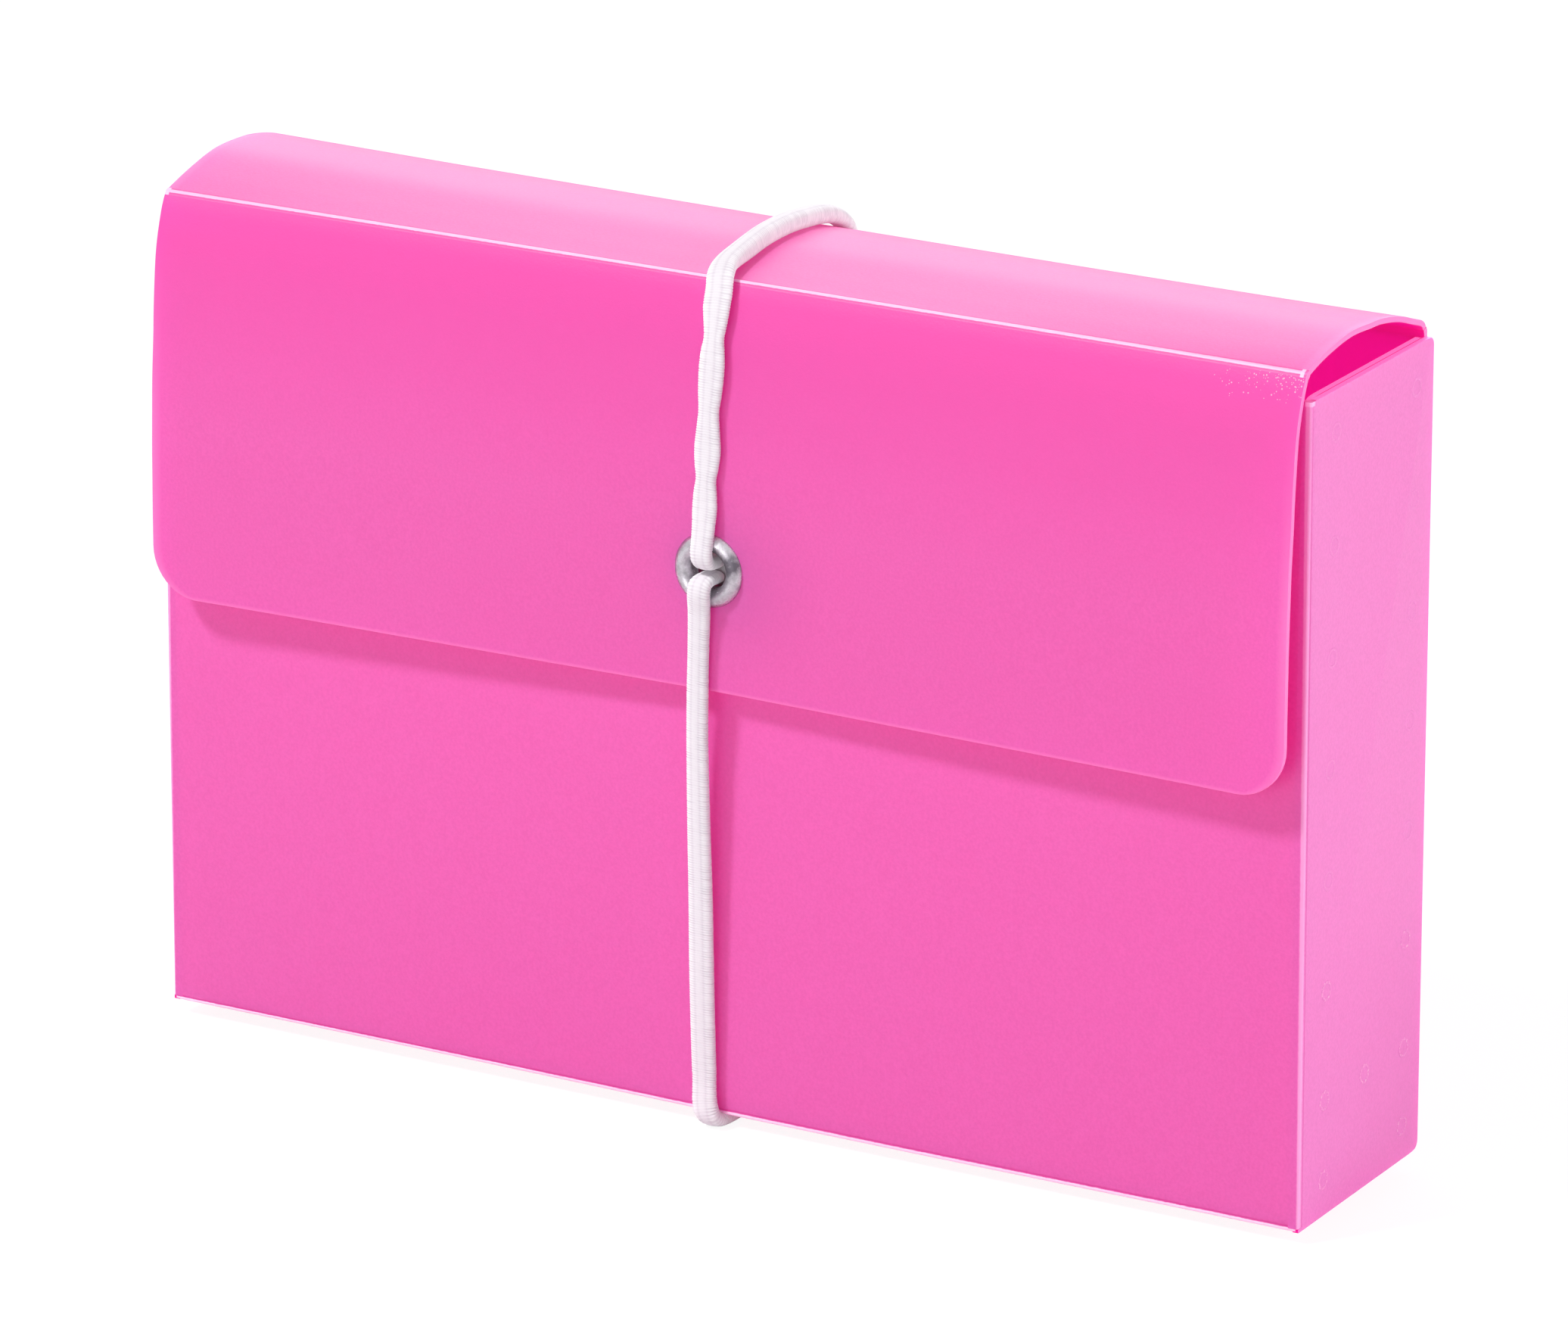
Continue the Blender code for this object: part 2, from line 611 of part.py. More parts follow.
def make_eyelet(finish, flap):
    """Pressed metal eyelet: a domed flange outside, a barrel through the flap, a curl over the washer."""
    front, back = eyelet_seats()
    centre = Vector((0, 0, EYELET_HEIGHT))
    washer_back = back + WASHER_THICKNESS
    barrel = EYELET_BORE + EYELET_WALL
    middle = (EYELET_BORE + EYELET_FLANGE) / 2
    curl_front = washer_back + SEAT_GAP
    curl_back = curl_front + EYELET_WALL
    profile = [
        Vector((EYELET_BORE, curl_back - EYELET_WALL / 2)),
        Vector((EYELET_BORE, front - EYELET_FLANGE_RISE / 2)),
        Vector(((EYELET_BORE + middle) / 2, front - EYELET_FLANGE_RISE)),
        Vector((middle, front - EYELET_FLANGE_RISE)),
        Vector((EYELET_FLANGE - EYELET_WALL, front - EYELET_FLANGE_RISE / 2)),
        Vector((EYELET_FLANGE, front - EYELET_WALL / 2)),
        Vector((EYELET_FLANGE, front)),
        Vector((barrel, front)),
        Vector((barrel, curl_front)),
        Vector((EYELET_CURL, curl_front)),
        Vector((EYELET_CURL, curl_back - EYELET_WALL / 2)),
        Vector((barrel, curl_back)),
    ]
    turned("eyelet", profile, centre, finish_for(finish["metal"], "eyelet_nickel"), flap)
    bore = barrel + EYELET_CLEARANCE
    ring = [Vector((bore, back)), Vector((WASHER_RADIUS, back)),
            Vector((WASHER_RADIUS, washer_back)), Vector((bore, washer_back))]
    turned("eyelet_washer", ring, centre, finish_for(finish["metal"], "eyelet_washer_nickel"), flap)
    return front - EYELET_FLANGE_RISE, curl_back


def make_elastic(finish, case, lid, flap, flange_front, curl_back):
    """The cord's five lengths, and the clamp that holds its two ends behind the eyelet."""
    clamp_front = curl_back + CLAMP_GAP
    strand_end = clamp_front - CORD_JOINT_GAP
    pair = (CORD_THICKNESS + CORD_PAIR_GAP) / 2
    over_flange = flange_front - CORD_REACH
    cord = finish["cord"]

    # Up the flap: out of the eyelet, over its flange and along the flap's face to the crease
    face = between(flap_path(), 0, path_length(flap_path()) - FLAP_CREASE_REACH)
    lift = EYELET_HEIGHT + EYELET_FLANGE * 2
    along = [Vector((flap_face(0, p.y), p.y)) for p in face if p.y > lift]
    along = offset_path(along, CORD_REACH)
    turn = [(strand_end, EYELET_HEIGHT + pair), (over_flange, EYELET_HEIGHT + pair),
            (over_flange, EYELET_HEIGHT + EYELET_FLANGE), along[0]]
    upper = rounded_route(turn, CORD_THICKNESS * CORD_BEND_SHARE)[:-1] + along
    strand("elastic_upper_strand", upper, finish_for(cord, "elastic_upper_strand_braid"), flap)

    # Over the lid from crease to crease
    dome = offset_path(between(dome_path(), FLAP_CREASE_REACH, path_length(dome_path())), CORD_REACH)
    over = between(dome, CORD_JOINT_GAP, path_length(dome) - CORD_JOINT_GAP)
    strand("elastic_over_lid", over, finish_for(cord, "elastic_over_lid_braid"), lid)

    # Down the back, under the bottom and up the front
    back, front, under = BACK_FACE + CORD_REACH, FRONT_FACE - CORD_REACH, -CORD_REACH
    down = [Vector((back, over[-1].y - CORD_REACH)), Vector((back, 0))]
    strand("elastic_back_strand", down, finish_for(cord, "elastic_back_strand_braid"), case)
    corners = [(back, -CORD_JOINT_GAP), (back, under), (front, under), (front, -CORD_JOINT_GAP)]
    strand("elastic_bottom_strand", rounded_route(corners, CORD_REACH - CORD_JOINT_GAP - HAIR),
           finish_for(cord, "elastic_bottom_strand_braid"), case)
    edge = FRONT_CREASE.y - FLAP_HEIGHT
    edge_face = flap_face(0, edge + HAIR) - CORD_REACH
    rise = [(front, 0), (edge_face, edge), (over_flange, EYELET_HEIGHT - EYELET_FLANGE),
            (over_flange, EYELET_HEIGHT - pair), (strand_end, EYELET_HEIGHT - pair)]
    strand("elastic_lower_strand", rounded_route(rise, CORD_THICKNESS * CORD_BEND_SHARE),
           finish_for(cord, "elastic_lower_strand_braid"), flap)

    half_width, half_height = CLAMP_WIDTH / 2, CLAMP_HEIGHT / 2
    low, high = EYELET_HEIGHT - half_height, EYELET_HEIGHT + half_height
    outline = rounded_outline([(-half_width, low), (half_width, low), (half_width, high), (-half_width, high)],
                              (CLAMP_CORNER,) * 4)
    plate("elastic_clamp", outline, clamp_front, FRONT_FACE - CLAMP_GAP, across_y,
          finish_for(finish["metal"], "elastic_clamp_steel"), flap)
    return over_flange - CORD_THICKNESS / 2, back + CORD_THICKNESS / 2


def main():
    clear_scene()
    finish = make_finishes()
    # The origin is under the middle of the whole object, at the level the cord stands on
    datum = empty("datum", Vector((0, 0, 0)))
    lid = empty("lid_axis", Vector((0, BACK_CREASE.x, BACK_CREASE.y)), datum)
    flap = empty("flap_axis", Vector((0, FRONT_CREASE.x, FRONT_CREASE.y)), lid)
    make_walls(finish, datum)
    for name, hand in (("left", -1), ("right", 1)):
        make_side(finish, datum, name, hand)
        make_welds(name, hand)
    make_case_creases(finish, datum)
    make_lid(finish, datum, lid)
    make_flap(finish, flap, lid)
    flange_front, curl_back = make_eyelet(finish, flap)
    nearest, farthest = make_elastic(finish, datum, lid, flap, flange_front, curl_back)
    datum.location = Vector((0, -(nearest + farthest) / 2, CORD_GAP + CORD_THICKNESS))


main()
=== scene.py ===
"""Index card box: a scored and folded polypropylene sheet, a nickel eyelet and a loop of white elastic.

Places are worked out in millimetres in the case's own frame: x along the box, y from its mid depth to the
back, z up from the underside of its bottom panel. to_row turns them into the row frame, in metres.
"""
import math
from functools import partial

import bmesh
import bpy
import numpy as np
from mathutils import Matrix, Vector


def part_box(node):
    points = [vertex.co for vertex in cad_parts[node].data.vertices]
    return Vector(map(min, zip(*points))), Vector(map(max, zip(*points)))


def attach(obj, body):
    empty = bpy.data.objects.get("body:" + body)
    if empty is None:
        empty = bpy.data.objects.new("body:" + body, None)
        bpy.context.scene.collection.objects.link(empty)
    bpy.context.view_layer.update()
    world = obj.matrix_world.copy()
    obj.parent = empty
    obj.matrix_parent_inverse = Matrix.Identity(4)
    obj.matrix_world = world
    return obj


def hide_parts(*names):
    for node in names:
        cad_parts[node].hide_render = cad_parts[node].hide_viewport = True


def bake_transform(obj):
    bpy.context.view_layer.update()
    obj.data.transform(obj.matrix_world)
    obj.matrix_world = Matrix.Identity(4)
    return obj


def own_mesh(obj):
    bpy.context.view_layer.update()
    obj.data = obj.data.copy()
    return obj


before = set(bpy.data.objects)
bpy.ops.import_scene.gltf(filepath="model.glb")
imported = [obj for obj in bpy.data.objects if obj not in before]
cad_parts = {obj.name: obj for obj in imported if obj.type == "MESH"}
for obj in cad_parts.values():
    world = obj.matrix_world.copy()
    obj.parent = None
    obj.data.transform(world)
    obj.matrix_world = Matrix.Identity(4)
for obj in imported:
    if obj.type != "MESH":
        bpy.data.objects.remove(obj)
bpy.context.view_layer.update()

MM = 0.001
HAIR = 0.01  # how close a place lies to a border that it is on

# The folded sheet
SHEET = 0.65
PLY_GAP = 0.2
FRONT = -13.95
BACK = 13.6
WING_BACK = 13.95
HALF_WIDTH = 70.0
FOLD_REACH = 1.15
FOLD_START = 0.45  # height of a side fold's lower end above the bottom fold's lowest line
WING_TOP = 90.55
WING_CORNER = 1.0
WING_INNER = HALF_WIDTH - SHEET
TAB_OUTER = WING_INNER - PLY_GAP
TAB_INNER = TAB_OUTER - SHEET
TAB_TOP = 90.5
TAB_CORNER = 1.2
BOTTOM_TAB_OUTER = TAB_INNER - PLY_GAP
BACK_FOLD_START = 0.7  # height of a back fold's lower end above the underside
FRONT_WALL_TOP = 89.75
BACK_WALL_TOP = 90.4
SIDES = (("left", -1), ("right", 1))

# The lid and the flap, whose faces run between creases at (y, z)
LID_HALF = 69.3
FRONT_CREASE = Vector((-13.70, 93.17))
BACK_CREASE = Vector((13.60, 91.10))
CREASE_REACH = 0.5
DOME_RISE = 3.2
DOME_SHAPE = ((0, 0), (0.17, 0.46), (0.36, 0.87), (0.55, 1), (0.65, 0.99), (0.77, 0.89), (0.86, 0.74),
              (0.94, 0.55), (0.978, 0.34), (1, 0))
FLAP_DROP = 44.5
FLAP_BULGE = 3.8
FLAP_CORNER = 5.5
FLAP_BOW = 1.4
FLAP_SHAPE = ((0, 0), (0.011, 0.08), (0.05, 0.29), (0.14, 0.58), (0.265, 0.74), (0.35, 0.8), (0.45, 0.89),
              (0.53, 0.93), (0.63, 0.97), (0.71, 0.985), (0.81, 1), (1, 1))
EYELET_X, EYELET_HEIGHT = 0.45, 61.97
EYELET_HOLE = 2.5
FLAP_MIDDLE = -17  # y of the flap at the eyelet

# The sheet's cut rims, how far the paler light along them reaches into its faces at the sides and at the
# flap's lower edge, and how far from a side edge the first column of points stands
RIM_ROUND = 0.1
EDGE_GLOW = 1.2
FLAP_LIP = 0.35
EDGE_COLUMN = 0.4

# The spot welds' rows, and the height from which they are too shallow to show well
WELD_ROWS = (3.8, 12.7, 24.9, 37.1, 49.3, 61.5, 73.7, 85.9)
WELD_FRONT, WELD_BACK, WELD_MIDDLE = -8.25, 10.05, 0.9
WELD_FAINT = 30

# The photograph's width in pixels, and the camera's sensor width in millimetres
PHOTO_WIDTH, SENSOR_WIDTH = 2072, 36

CASE_ORIGIN = Vector((0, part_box("front_wall")[0].y - FRONT * MM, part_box("bottom_panel")[0].z))


def to_row(x, y, z):
    return CASE_ORIGIN + Vector((x, y, z)) * MM


# Colours and materials

# The colour that light takes on its way through the sheet, and the share of it that gets through
THROUGH, SHARE, SIDE_SHARE = "#FF22CB", 0.38, 0.3
FRONT_PINKS = "#D96EBE", "#D772C0"
# Paler than the front's pinks: partly the inner tab's second ply behind the wing, partly painted light for
# the side's brighter look
SIDE_PINKS = "#E28ED2", "#E092D4"
# Paler than the front's pinks: a painted sheen for the dome, which is seen at a grazing angle
LID_PINKS = "#E077C0", "#E07BC2"
FLAP_PINKS = "#DA6CBC", "#D870BE"
# The inner faces are drawn deeper pink than the outer ones: painted light, standing in for the pink light
# shut inside the box
INSIDE_PINKS = "#EA1CA4", "#E820A6"
EDGE_PINK = "#FFA0DC"


def hex_colour(code):
    """An sRGB hex value as linear red, green, blue and alpha."""
    parts = [int(code[i:i + 2], 16) / 255 for i in (1, 3, 5)]
    return tuple(p / 12.92 if p <= 0.04045 else ((p + 0.055) / 1.055) ** 2.4 for p in parts) + (1.0,)


def add_node(tree, kind, inputs=(), **settings):
    """Adds a node. A shader node's kind is given without its prefix. settings are its properties. inputs are
    for its sockets, by name or in order: a value, a hex colour, or the node or socket that feeds it."""
    made = tree.nodes.new(kind if "Node" in kind else f"ShaderNode{kind}")
    for name, value in settings.items():
        setattr(made, name, value)
    for key, value in (inputs.items() if isinstance(inputs, dict) else enumerate(inputs)):
        if isinstance(value, bpy.types.Node):
            value = next(socket for socket in value.outputs if socket.enabled)
        if isinstance(value, bpy.types.NodeSocket):
            tree.links.new(value, made.inputs[key])
        else:
            made.inputs[key].default_value = hex_colour(value) if isinstance(value, str) else value
    return made


def new_material(name):
    """An empty material, the function that adds nodes to it, and the surface's places in metres."""
    made = bpy.data.materials.new(name)
    made.use_nodes = True
    made.node_tree.nodes.clear()
    add = partial(add_node, made.node_tree)
    return made, add, add("TexCoord").outputs["Object"]


def matte_grain(add, where, pitch, depth):
    """The sheet's matte texture, pressed into it by the rollers: fine grain of a pitch and depth in mm over
    shallow dimples about a millimetre wide."""
    dimples = add("TexNoise", {"Vector": where, "Scale": 1 / (1.1 * MM), "Detail": 1.0})
    soft = add("Bump", {"Height": dimples, "Distance": 0.008 * MM})
    grain = add("TexNoise", {"Vector": where, "Scale": 1 / (pitch * MM), "Detail": 2.0, "Roughness": 0.6})
    return add("Bump", {"Height": grain, "Distance": depth * MM, "Normal": soft})


def mottled(add, where, colour, other):
    """Two near colours in soft patches 24 mm wide, as pigment and thickness vary in extruded sheet. A faint
    grain from its matte face is drawn 0.3 mm wide, so that it shows at the photograph's scale."""
    patches = add("TexNoise", {"Vector": where, "Scale": 1 / (24 * MM), "Detail": 3.0, "Roughness": 0.5})
    grain = add("TexNoise", {"Vector": where, "Scale": 1 / (0.3 * MM), "Detail": 2.0})
    shade = add("MapRange", (grain, 0.3, 0.7, 0.94, 1.06))
    both = add("Mix", {"Factor": patches, "A": colour, "B": other}, data_type="RGBA")
    return add("VectorMath", {0: both, "Scale": shade}, operation="SCALE")


def finish_sheet(add, colour, through, share, normal, roughness=0.4, glow=0.13):
    """The sheet's shader: a matte face over plastic that lets part of the light through and turns it deep
    pink. A little light also runs along inside the sheet and comes out all over it, in the shadows too."""
    face = add("BsdfPrincipled", {"Base Color": colour, "Roughness": roughness, "IOR": 1.49, "Normal": normal,
                                  "Emission Color": through, "Emission Strength": glow})
    deep = add("BsdfTranslucent", {"Color": through, "Normal": normal})
    add("OutputMaterial", {"Surface": add("MixShader", (share, face, deep))})


def matte_sheet(name, colours):
    """The start of a sheet's face: two near pinks, paler for a millimetre along its free edges, where light
    leaves through the cut, and the bump of its fine grain."""
    made, add, where = new_material(name)
    near = add("Attribute", attribute_name="near_edge").outputs["Fac"]
    near = add("Math", (near, 0.55), operation="MULTIPLY")
    pale = add("Mix", {"Factor": near, "A": mottled(add, where, *colours), "B": EDGE_PINK}, data_type="RGBA")
    return made, add, where, pale, matte_grain(add, where, 0.22, 0.02)


def polypropylene(name, colours, through, share, glow=0.13):
    """Extruded polypropylene sheet with a fine matte face. It scatters some light back in its own pale pink
    and lets the rest through, which comes out deep pink on the far side."""
    made, add, where, pale, grain = matte_sheet(name, colours)
    finish_sheet(add, pale, through, share, grain, glow=glow)
    return made


def flap_polypropylene(name, colours, through, share):
    """The flap's outer face: the sheet's own finish, deeper pink near its top under the fold and dulled and
    more purple right of the eyelet, both in painted shade, with white scuffs under the fold's right end."""
    made, add, where, pale, grain = matte_sheet(name, colours)
    # A painted purplish shade just right of the eyelet, where the sheet dips round it
    beside_eyelet = to_row(EYELET_X + 3.2, FLAP_MIDDLE, EYELET_HEIGHT - 0.4)
    away = add("VectorMath", (where, beside_eyelet), operation="DISTANCE")
    painted_eyelet_shade = add("Math", (add("MapRange", (away, 0.003, 0.0125, 0.55, 0.0)), 1.6), operation="POWER")
    pale = add("Mix", {"Factor": painted_eyelet_shade, "A": pale, "B": "#A062A8"}, data_type="RGBA")

    x, _, z = add("SeparateXYZ", (where,)).outputs
    # Painted shade: deeper pink towards the top of the flap, under its fold
    painted_fold_shade = add("MapRange", (z, 0.07, 0.09))
    pale = add("Mix", {"Factor": painted_fold_shade, "A": pale, "B": "#DC5EB6"}, data_type="RGBA")
    to_right, to_fold = add("MapRange", (x, 0.0575, 0.068)), add("MapRange", (z, 0.0918, 0.0945))
    worn = add("Math", (to_right, to_fold), operation="MULTIPLY")
    spots = add("TexVoronoi", {"Vector": where, "Scale": 1 / (0.26 * MM), "Randomness": 1.0})
    chance, size, _ = add("SeparateColor", (spots.outputs["Color"],)).outputs
    kept = add("Math", (chance, worn), operation="LESS_THAN")
    edge = add("MapRange", (size, 0.0, 1.0, 0.12, 0.36))
    speck = add("Math", (spots.outputs["Distance"], edge), operation="LESS_THAN")
    scuff = add("Math", (add("Math", (speck, kept), operation="MULTIPLY"), 0.75), operation="MULTIPLY")
    pale = add("Mix", {"Factor": scuff, "A": pale, "B": "#FFE6F5"}, data_type="RGBA")
    finish_sheet(add, pale, through, share, grain)
    return made


def cut_edge(name, colour, glow):
    """The die-cut rim of the sheet, paler and brighter, because light that runs inside comes out there."""
    made, add, where = new_material(name)
    finish_sheet(add, colour, "#FF84CE", 0.15, matte_grain(add, where, 0.1, 0.01), glow=glow)
    return made


def fused_polypropylene(name, frosted):
    """The sheet where a hot point has fused it: a little glossier, with frosted specks."""
    made, add, where = new_material(name)
    specks = add("TexNoise", {"Vector": where, "Scale": 1 / (0.25 * MM), "Detail": 3.0})
    bump = add("Bump", {"Height": specks, "Distance": 0.02 * MM})
    frost = add("MapRange", (specks, 0.5, 0.66))
    colour = add("Mix", {"Factor": frost, "A": "#E492D4", "B": frosted}, data_type="RGBA")
    finish_sheet(add, colour, THROUGH, SIDE_SHARE, bump, roughness=0.3)
    return made


def band(add, across, low, high, soft):
    """1 where a measure lies between two values, fading to 0 over a soft width."""
    rise = add("MapRange", (across, low - soft, low))
    return add("Math", (rise, add("MapRange", (across, high, high + soft, 1.0, 0.0))), operation="MULTIPLY")


def scored_fold(name, first, second, white, dark, stressed, ends=(), wander=(0.0, 0.0), reach=(-100, 100)):
    """A die-scored fold between two panels, each given as its two colours and the share of light it passes.
    The plastic whitens and turns opaque where it is bent, painted shade darkens a fine groove beside it, and
    the nicks of the die whiten its ends. The UV map holds millimetres along the fold and across it: white and
    dark are bands across, white with its softness and its strength up to 20 mm and at 90 mm along. ends are
    bands along, reach is where the whitening starts and stops, and wander is how far the bend strays across
    at 0 and at 90 mm."""
    made, add, where = new_material(name)
    along, across, _ = add("SeparateXYZ", (add("UVMap", uv_map="fold_mm"),)).outputs
    ragged = add("TexNoise", {"Vector": where, "Scale": 1 / (0.5 * MM), "Detail": 2.0})
    shift = add("MapRange", (along, 0.0, 90.0, wander[0] - 0.04, wander[1] - 0.04))
    uneven = add("Math", (ragged, 0.08, shift), operation="MULTIPLY_ADD")
    uneven = add("Math", (across, uneven), operation="SUBTRACT")
    panels = [mottled(add, where, *side[0]) for side in (first, second)]
    past = add("MapRange", (across, -0.2, 0.2))
    colour = add("Mix", {"Factor": past, "A": panels[0], "B": panels[1]}, data_type="RGBA")
    share = add("MapRange", (across, -0.2, 0.2, first[1], second[1]))
    # dark: bands of painted shade, for the fine grooves beside the bend
    for low, high, strength in dark:
        groove = add("Math", (band(add, uneven, low, high, 0.06), strength), operation="MULTIPLY")
        colour = add("Mix", {"Factor": groove, "A": colour, "B": "#C23C8C"}, data_type="RGBA")
    low, high, soft, strength, far_strength = white
    strength = add("MapRange", (along, 20.0, 90.0, strength, far_strength))
    pale = add("Math", (band(add, uneven, low, high, soft), strength), operation="MULTIPLY")
    pale = add("Math", (pale, band(add, along, *reach, 0.05)), operation="MULTIPLY")
    for low, high in ends:
        nick = band(add, along, low, high, 0.08), band(add, across, -0.65, 0.65, 0.1)
        pale = add("Math", (pale, add("Math", nick, operation="MULTIPLY")), operation="MAXIMUM")
    colour = add("Mix", {"Factor": pale, "A": colour, "B": stressed}, data_type="RGBA")
    share = add("Math", (share, add("MapRange", (pale, 0.0, 1.0, 1.0, 0.3))), operation="MULTIPLY")
    finish_sheet(add, colour, THROUGH, share, matte_grain(add, where, 0.22, 0.02))
    return made


def tumbled_plate(name, bright, dull, roughness, dark_reflection_at=(0, 0, 0)):
    """Thin plate on a pressed part, tumbled: satin, in bright and dull patches about a millimetre wide, with
    fine scratches drawn 0.25 mm apart. Round one point it is duller and darker: a painted dark reflection."""
    made, add, where = new_material(name)
    patches = add("TexNoise", {"Vector": where, "Scale": 1 / (1.1 * MM), "Detail": 4.0, "Roughness": 0.65})
    # A painted dark reflection: duller and darker round one point, added to the tumbled patches in worn
    away = add("VectorMath", (where, dark_reflection_at), operation="DISTANCE")
    painted_reflection = add("MapRange", (away, 0.5 * MM, 1.7 * MM, 0.5, 0.0))
    worn = add("Math", (patches, painted_reflection), operation="ADD")
    dulled = add("MapRange", (worn, 0.42, 0.9))
    tumble = add("TexNoise", {"Vector": where, "Scale": 1 / (0.25 * MM), "Detail": 5.0, "Roughness": 0.7})
    face = add("BsdfPrincipled", {
        "Base Color": add("Mix", {"Factor": dulled, "A": bright, "B": dull}, data_type="RGBA"),
        "Metallic": 1.0,
        "Roughness": add("MapRange", (worn, 0.3, 0.7, roughness - 0.08, roughness + 0.1)),
        "Normal": add("Bump", {"Height": tumble, "Distance": 0.03 * MM})})
    add("OutputMaterial", {"Surface": face})
    return made


def braided_elastic(name):
    """Polyester yarn braided over rubber: bright white and dull, with painted grey-lilac shade between the
    yarns.
    A faint white glow is painted light that lifts its shaded side.
    """
    made, add, where = new_material(name)
    depth = add("Attribute", attribute_name="yarn_depth").outputs["Fac"]
    fibre = add("TexNoise", {"Vector": where, "Scale": 1 / (0.09 * MM), "Detail": 3.0, "Roughness": 0.7})
    face = add("BsdfPrincipled", {
        "Base Color": add("Mix", {"Factor": depth, "A": "#E6E2E6", "B": "#B2A0B2"}, data_type="RGBA"),
        "Roughness": 0.8, "Sheen Weight": 0.15, "Sheen Roughness": 0.4,
        "Normal": add("Bump", {"Height": fibre, "Distance": 0.02 * MM, "Strength": 0.8}),
        # A faint white emission: painted light that brightens the cord's shaded side
        "Emission Color": (1, 0.97, 1, 1), "Emission Strength": 0.055})
    add("OutputMaterial", {"Surface": face})
    return made


def make_materials():
    return {
        "outside": polypropylene("polypropylene_matte_outer_face", FRONT_PINKS, THROUGH, SHARE),
        "side": polypropylene("polypropylene_side_wing_face", SIDE_PINKS, THROUGH, SIDE_SHARE),
        "lid": polypropylene("polypropylene_domed_outer_face", LID_PINKS, THROUGH, SHARE),
        "flap": flap_polypropylene("polypropylene_flap_outer_face", FLAP_PINKS, THROUGH, SHARE),
        # The inner face: painted light, a deep pink copy of the sheet with a stronger glow, for the light
        # shut inside the box
        "inside": polypropylene("polypropylene_inner_face", INSIDE_PINKS, "#FF48D0", 0.75, glow=0.25),
        "rim": cut_edge("polypropylene_die_cut_edge", "#E878B8", 0.22),
        # The free rims of the side wings and inner tabs: a paler copy of the rim with a stronger glow,
        # painted light that brightens them under the lid's arch
        "top_rim": cut_edge("polypropylene_die_cut_top_edge", "#F690D2", 0.6),
    }


# Ways to make the pieces' meshes, in millimetres in the case's frame

def corner_arc(before, corner, after, radius, steps=8):
    """Points of the arc that rounds a corner between two straight runs."""
    to_before = (before - corner).normalized()
    to_after = (after - corner).normalized()
    half = to_before.angle(to_after) / 2
    centre = corner + (to_before + to_after).normalized() * (radius / math.sin(half))
    start = corner + to_before * (radius / math.tan(half)) - centre
    end = corner + to_after * (radius / math.tan(half)) - centre
    first = math.atan2(start.y, start.x)
    sweep = (math.atan2(end.y, end.x) - first + math.pi) % math.tau - math.pi
    turns = [first + sweep * i / steps for i in range(steps + 1)]
    return [centre + Vector((math.cos(a), math.sin(a))) * radius for a in turns]


def rounded_outline(corners, radii):
    points = []
    for i, radius in enumerate(radii):
        before, corner = Vector(corners[i - 1]), Vector(corners[i])
        after = Vector(corners[(i + 1) % len(corners)])
        points += corner_arc(before, corner, after, radius) if radius else [corner]
    return points


def rectangle(left, right, low, high, radii=(0, 0, 0, 0)):
    """An outline from its lower left corner, with a radius for each corner."""
    return rounded_outline([(left, low), (right, low), (right, high), (left, high)], radii)


def smooth_path(points, steps):
    """A curve through points of any dimension, as an array with a few steps in each span."""
    points = [np.array(p, float) for p in points]
    path = [points[0]]
    for i in range(len(points) - 1):
        start, end = points[i], points[i + 1]
        before = points[i - 1] if i else start * 2 - end
        after = points[i + 2] if i + 2 < len(points) else end * 2 - start
        for k in range(1, steps + 1):
            t = k / steps
            bend = before * (-t + 2 * t**2 - t**3) + start * (2 - 5 * t**2 + 3 * t**3)
            bend = bend + end * (t + 4 * t**2 - 3 * t**3) + after * (t**3 - t**2)
            path.append(bend / 2)
    return np.array(path)


def distances(path):
    """How far along a path each of its points lies."""
    return np.concatenate([[0], np.cumsum(np.linalg.norm(np.diff(path, axis=0), axis=1))])


def at_distances(path, reached, wanted):
    """A path's columns at wanted distances, where its own points lie at the reached ones."""
    return np.stack([np.interp(wanted, reached, path[:, k]) for k in range(path.shape[1])], 1)


def left_normals(path):
    """Unit normals to the left of a flat path of (y, z) points."""
    ahead = np.gradient(path, axis=0)
    ahead /= np.linalg.norm(ahead, axis=1)[:, None]
    return np.stack([-ahead[:, 1], ahead[:, 0]], 1)


def in_scene(name, data):
    made = bpy.data.objects.new(name, data)
    bpy.context.scene.collection.objects.link(made)
    return made


def mesh_data(name, mesh):
    """Turns a bmesh into a mesh and frees it."""
    data = bpy.data.meshes.new(name)
    mesh.to_mesh(data)
    mesh.free()
    return data


def shade_smooth(data):
    data.polygons.foreach_set("use_smooth", [True] * len(data.polygons))


def move_to_row(mesh):
    """Turns a bmesh from case millimetres into metres in the row frame."""
    mesh.transform(Matrix.Translation(CASE_ORIGIN) @ Matrix.Scale(MM, 4))


def piece_from_mesh(name, mesh, materials, body, replaces):
    """Turns a bmesh in case millimetres into an object in the row frame, and hands it to its body."""
    bmesh.ops.remove_doubles(mesh, verts=mesh.verts, dist=0.0005)
    bmesh.ops.recalc_face_normals(mesh, faces=mesh.faces)
    move_to_row(mesh)
    data = mesh_data(name, mesh)
    shade_smooth(data)
    data.set_sharp_from_angle(angle=math.radians(38))
    for one in materials:
        data.materials.append(one)
    made = in_scene(name, data)
    if body:
        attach(made, body)
    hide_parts(*replaces)
    return made


def round_rims(mesh, free):
    """Softens the edges between a sheet's faces and its cut rim, where a test says that the rim is free."""
    rims = [e for e in mesh.edges if len({f.material_index for f in e.link_faces}) == 2
            and all(free(v.co) for v in e.verts)]
    bmesh.ops.bevel(mesh, geom=rims, offset=RIM_ROUND, segments=2, profile=0.5, affect="EDGES", material=2,
                    clamp_overlap=True)


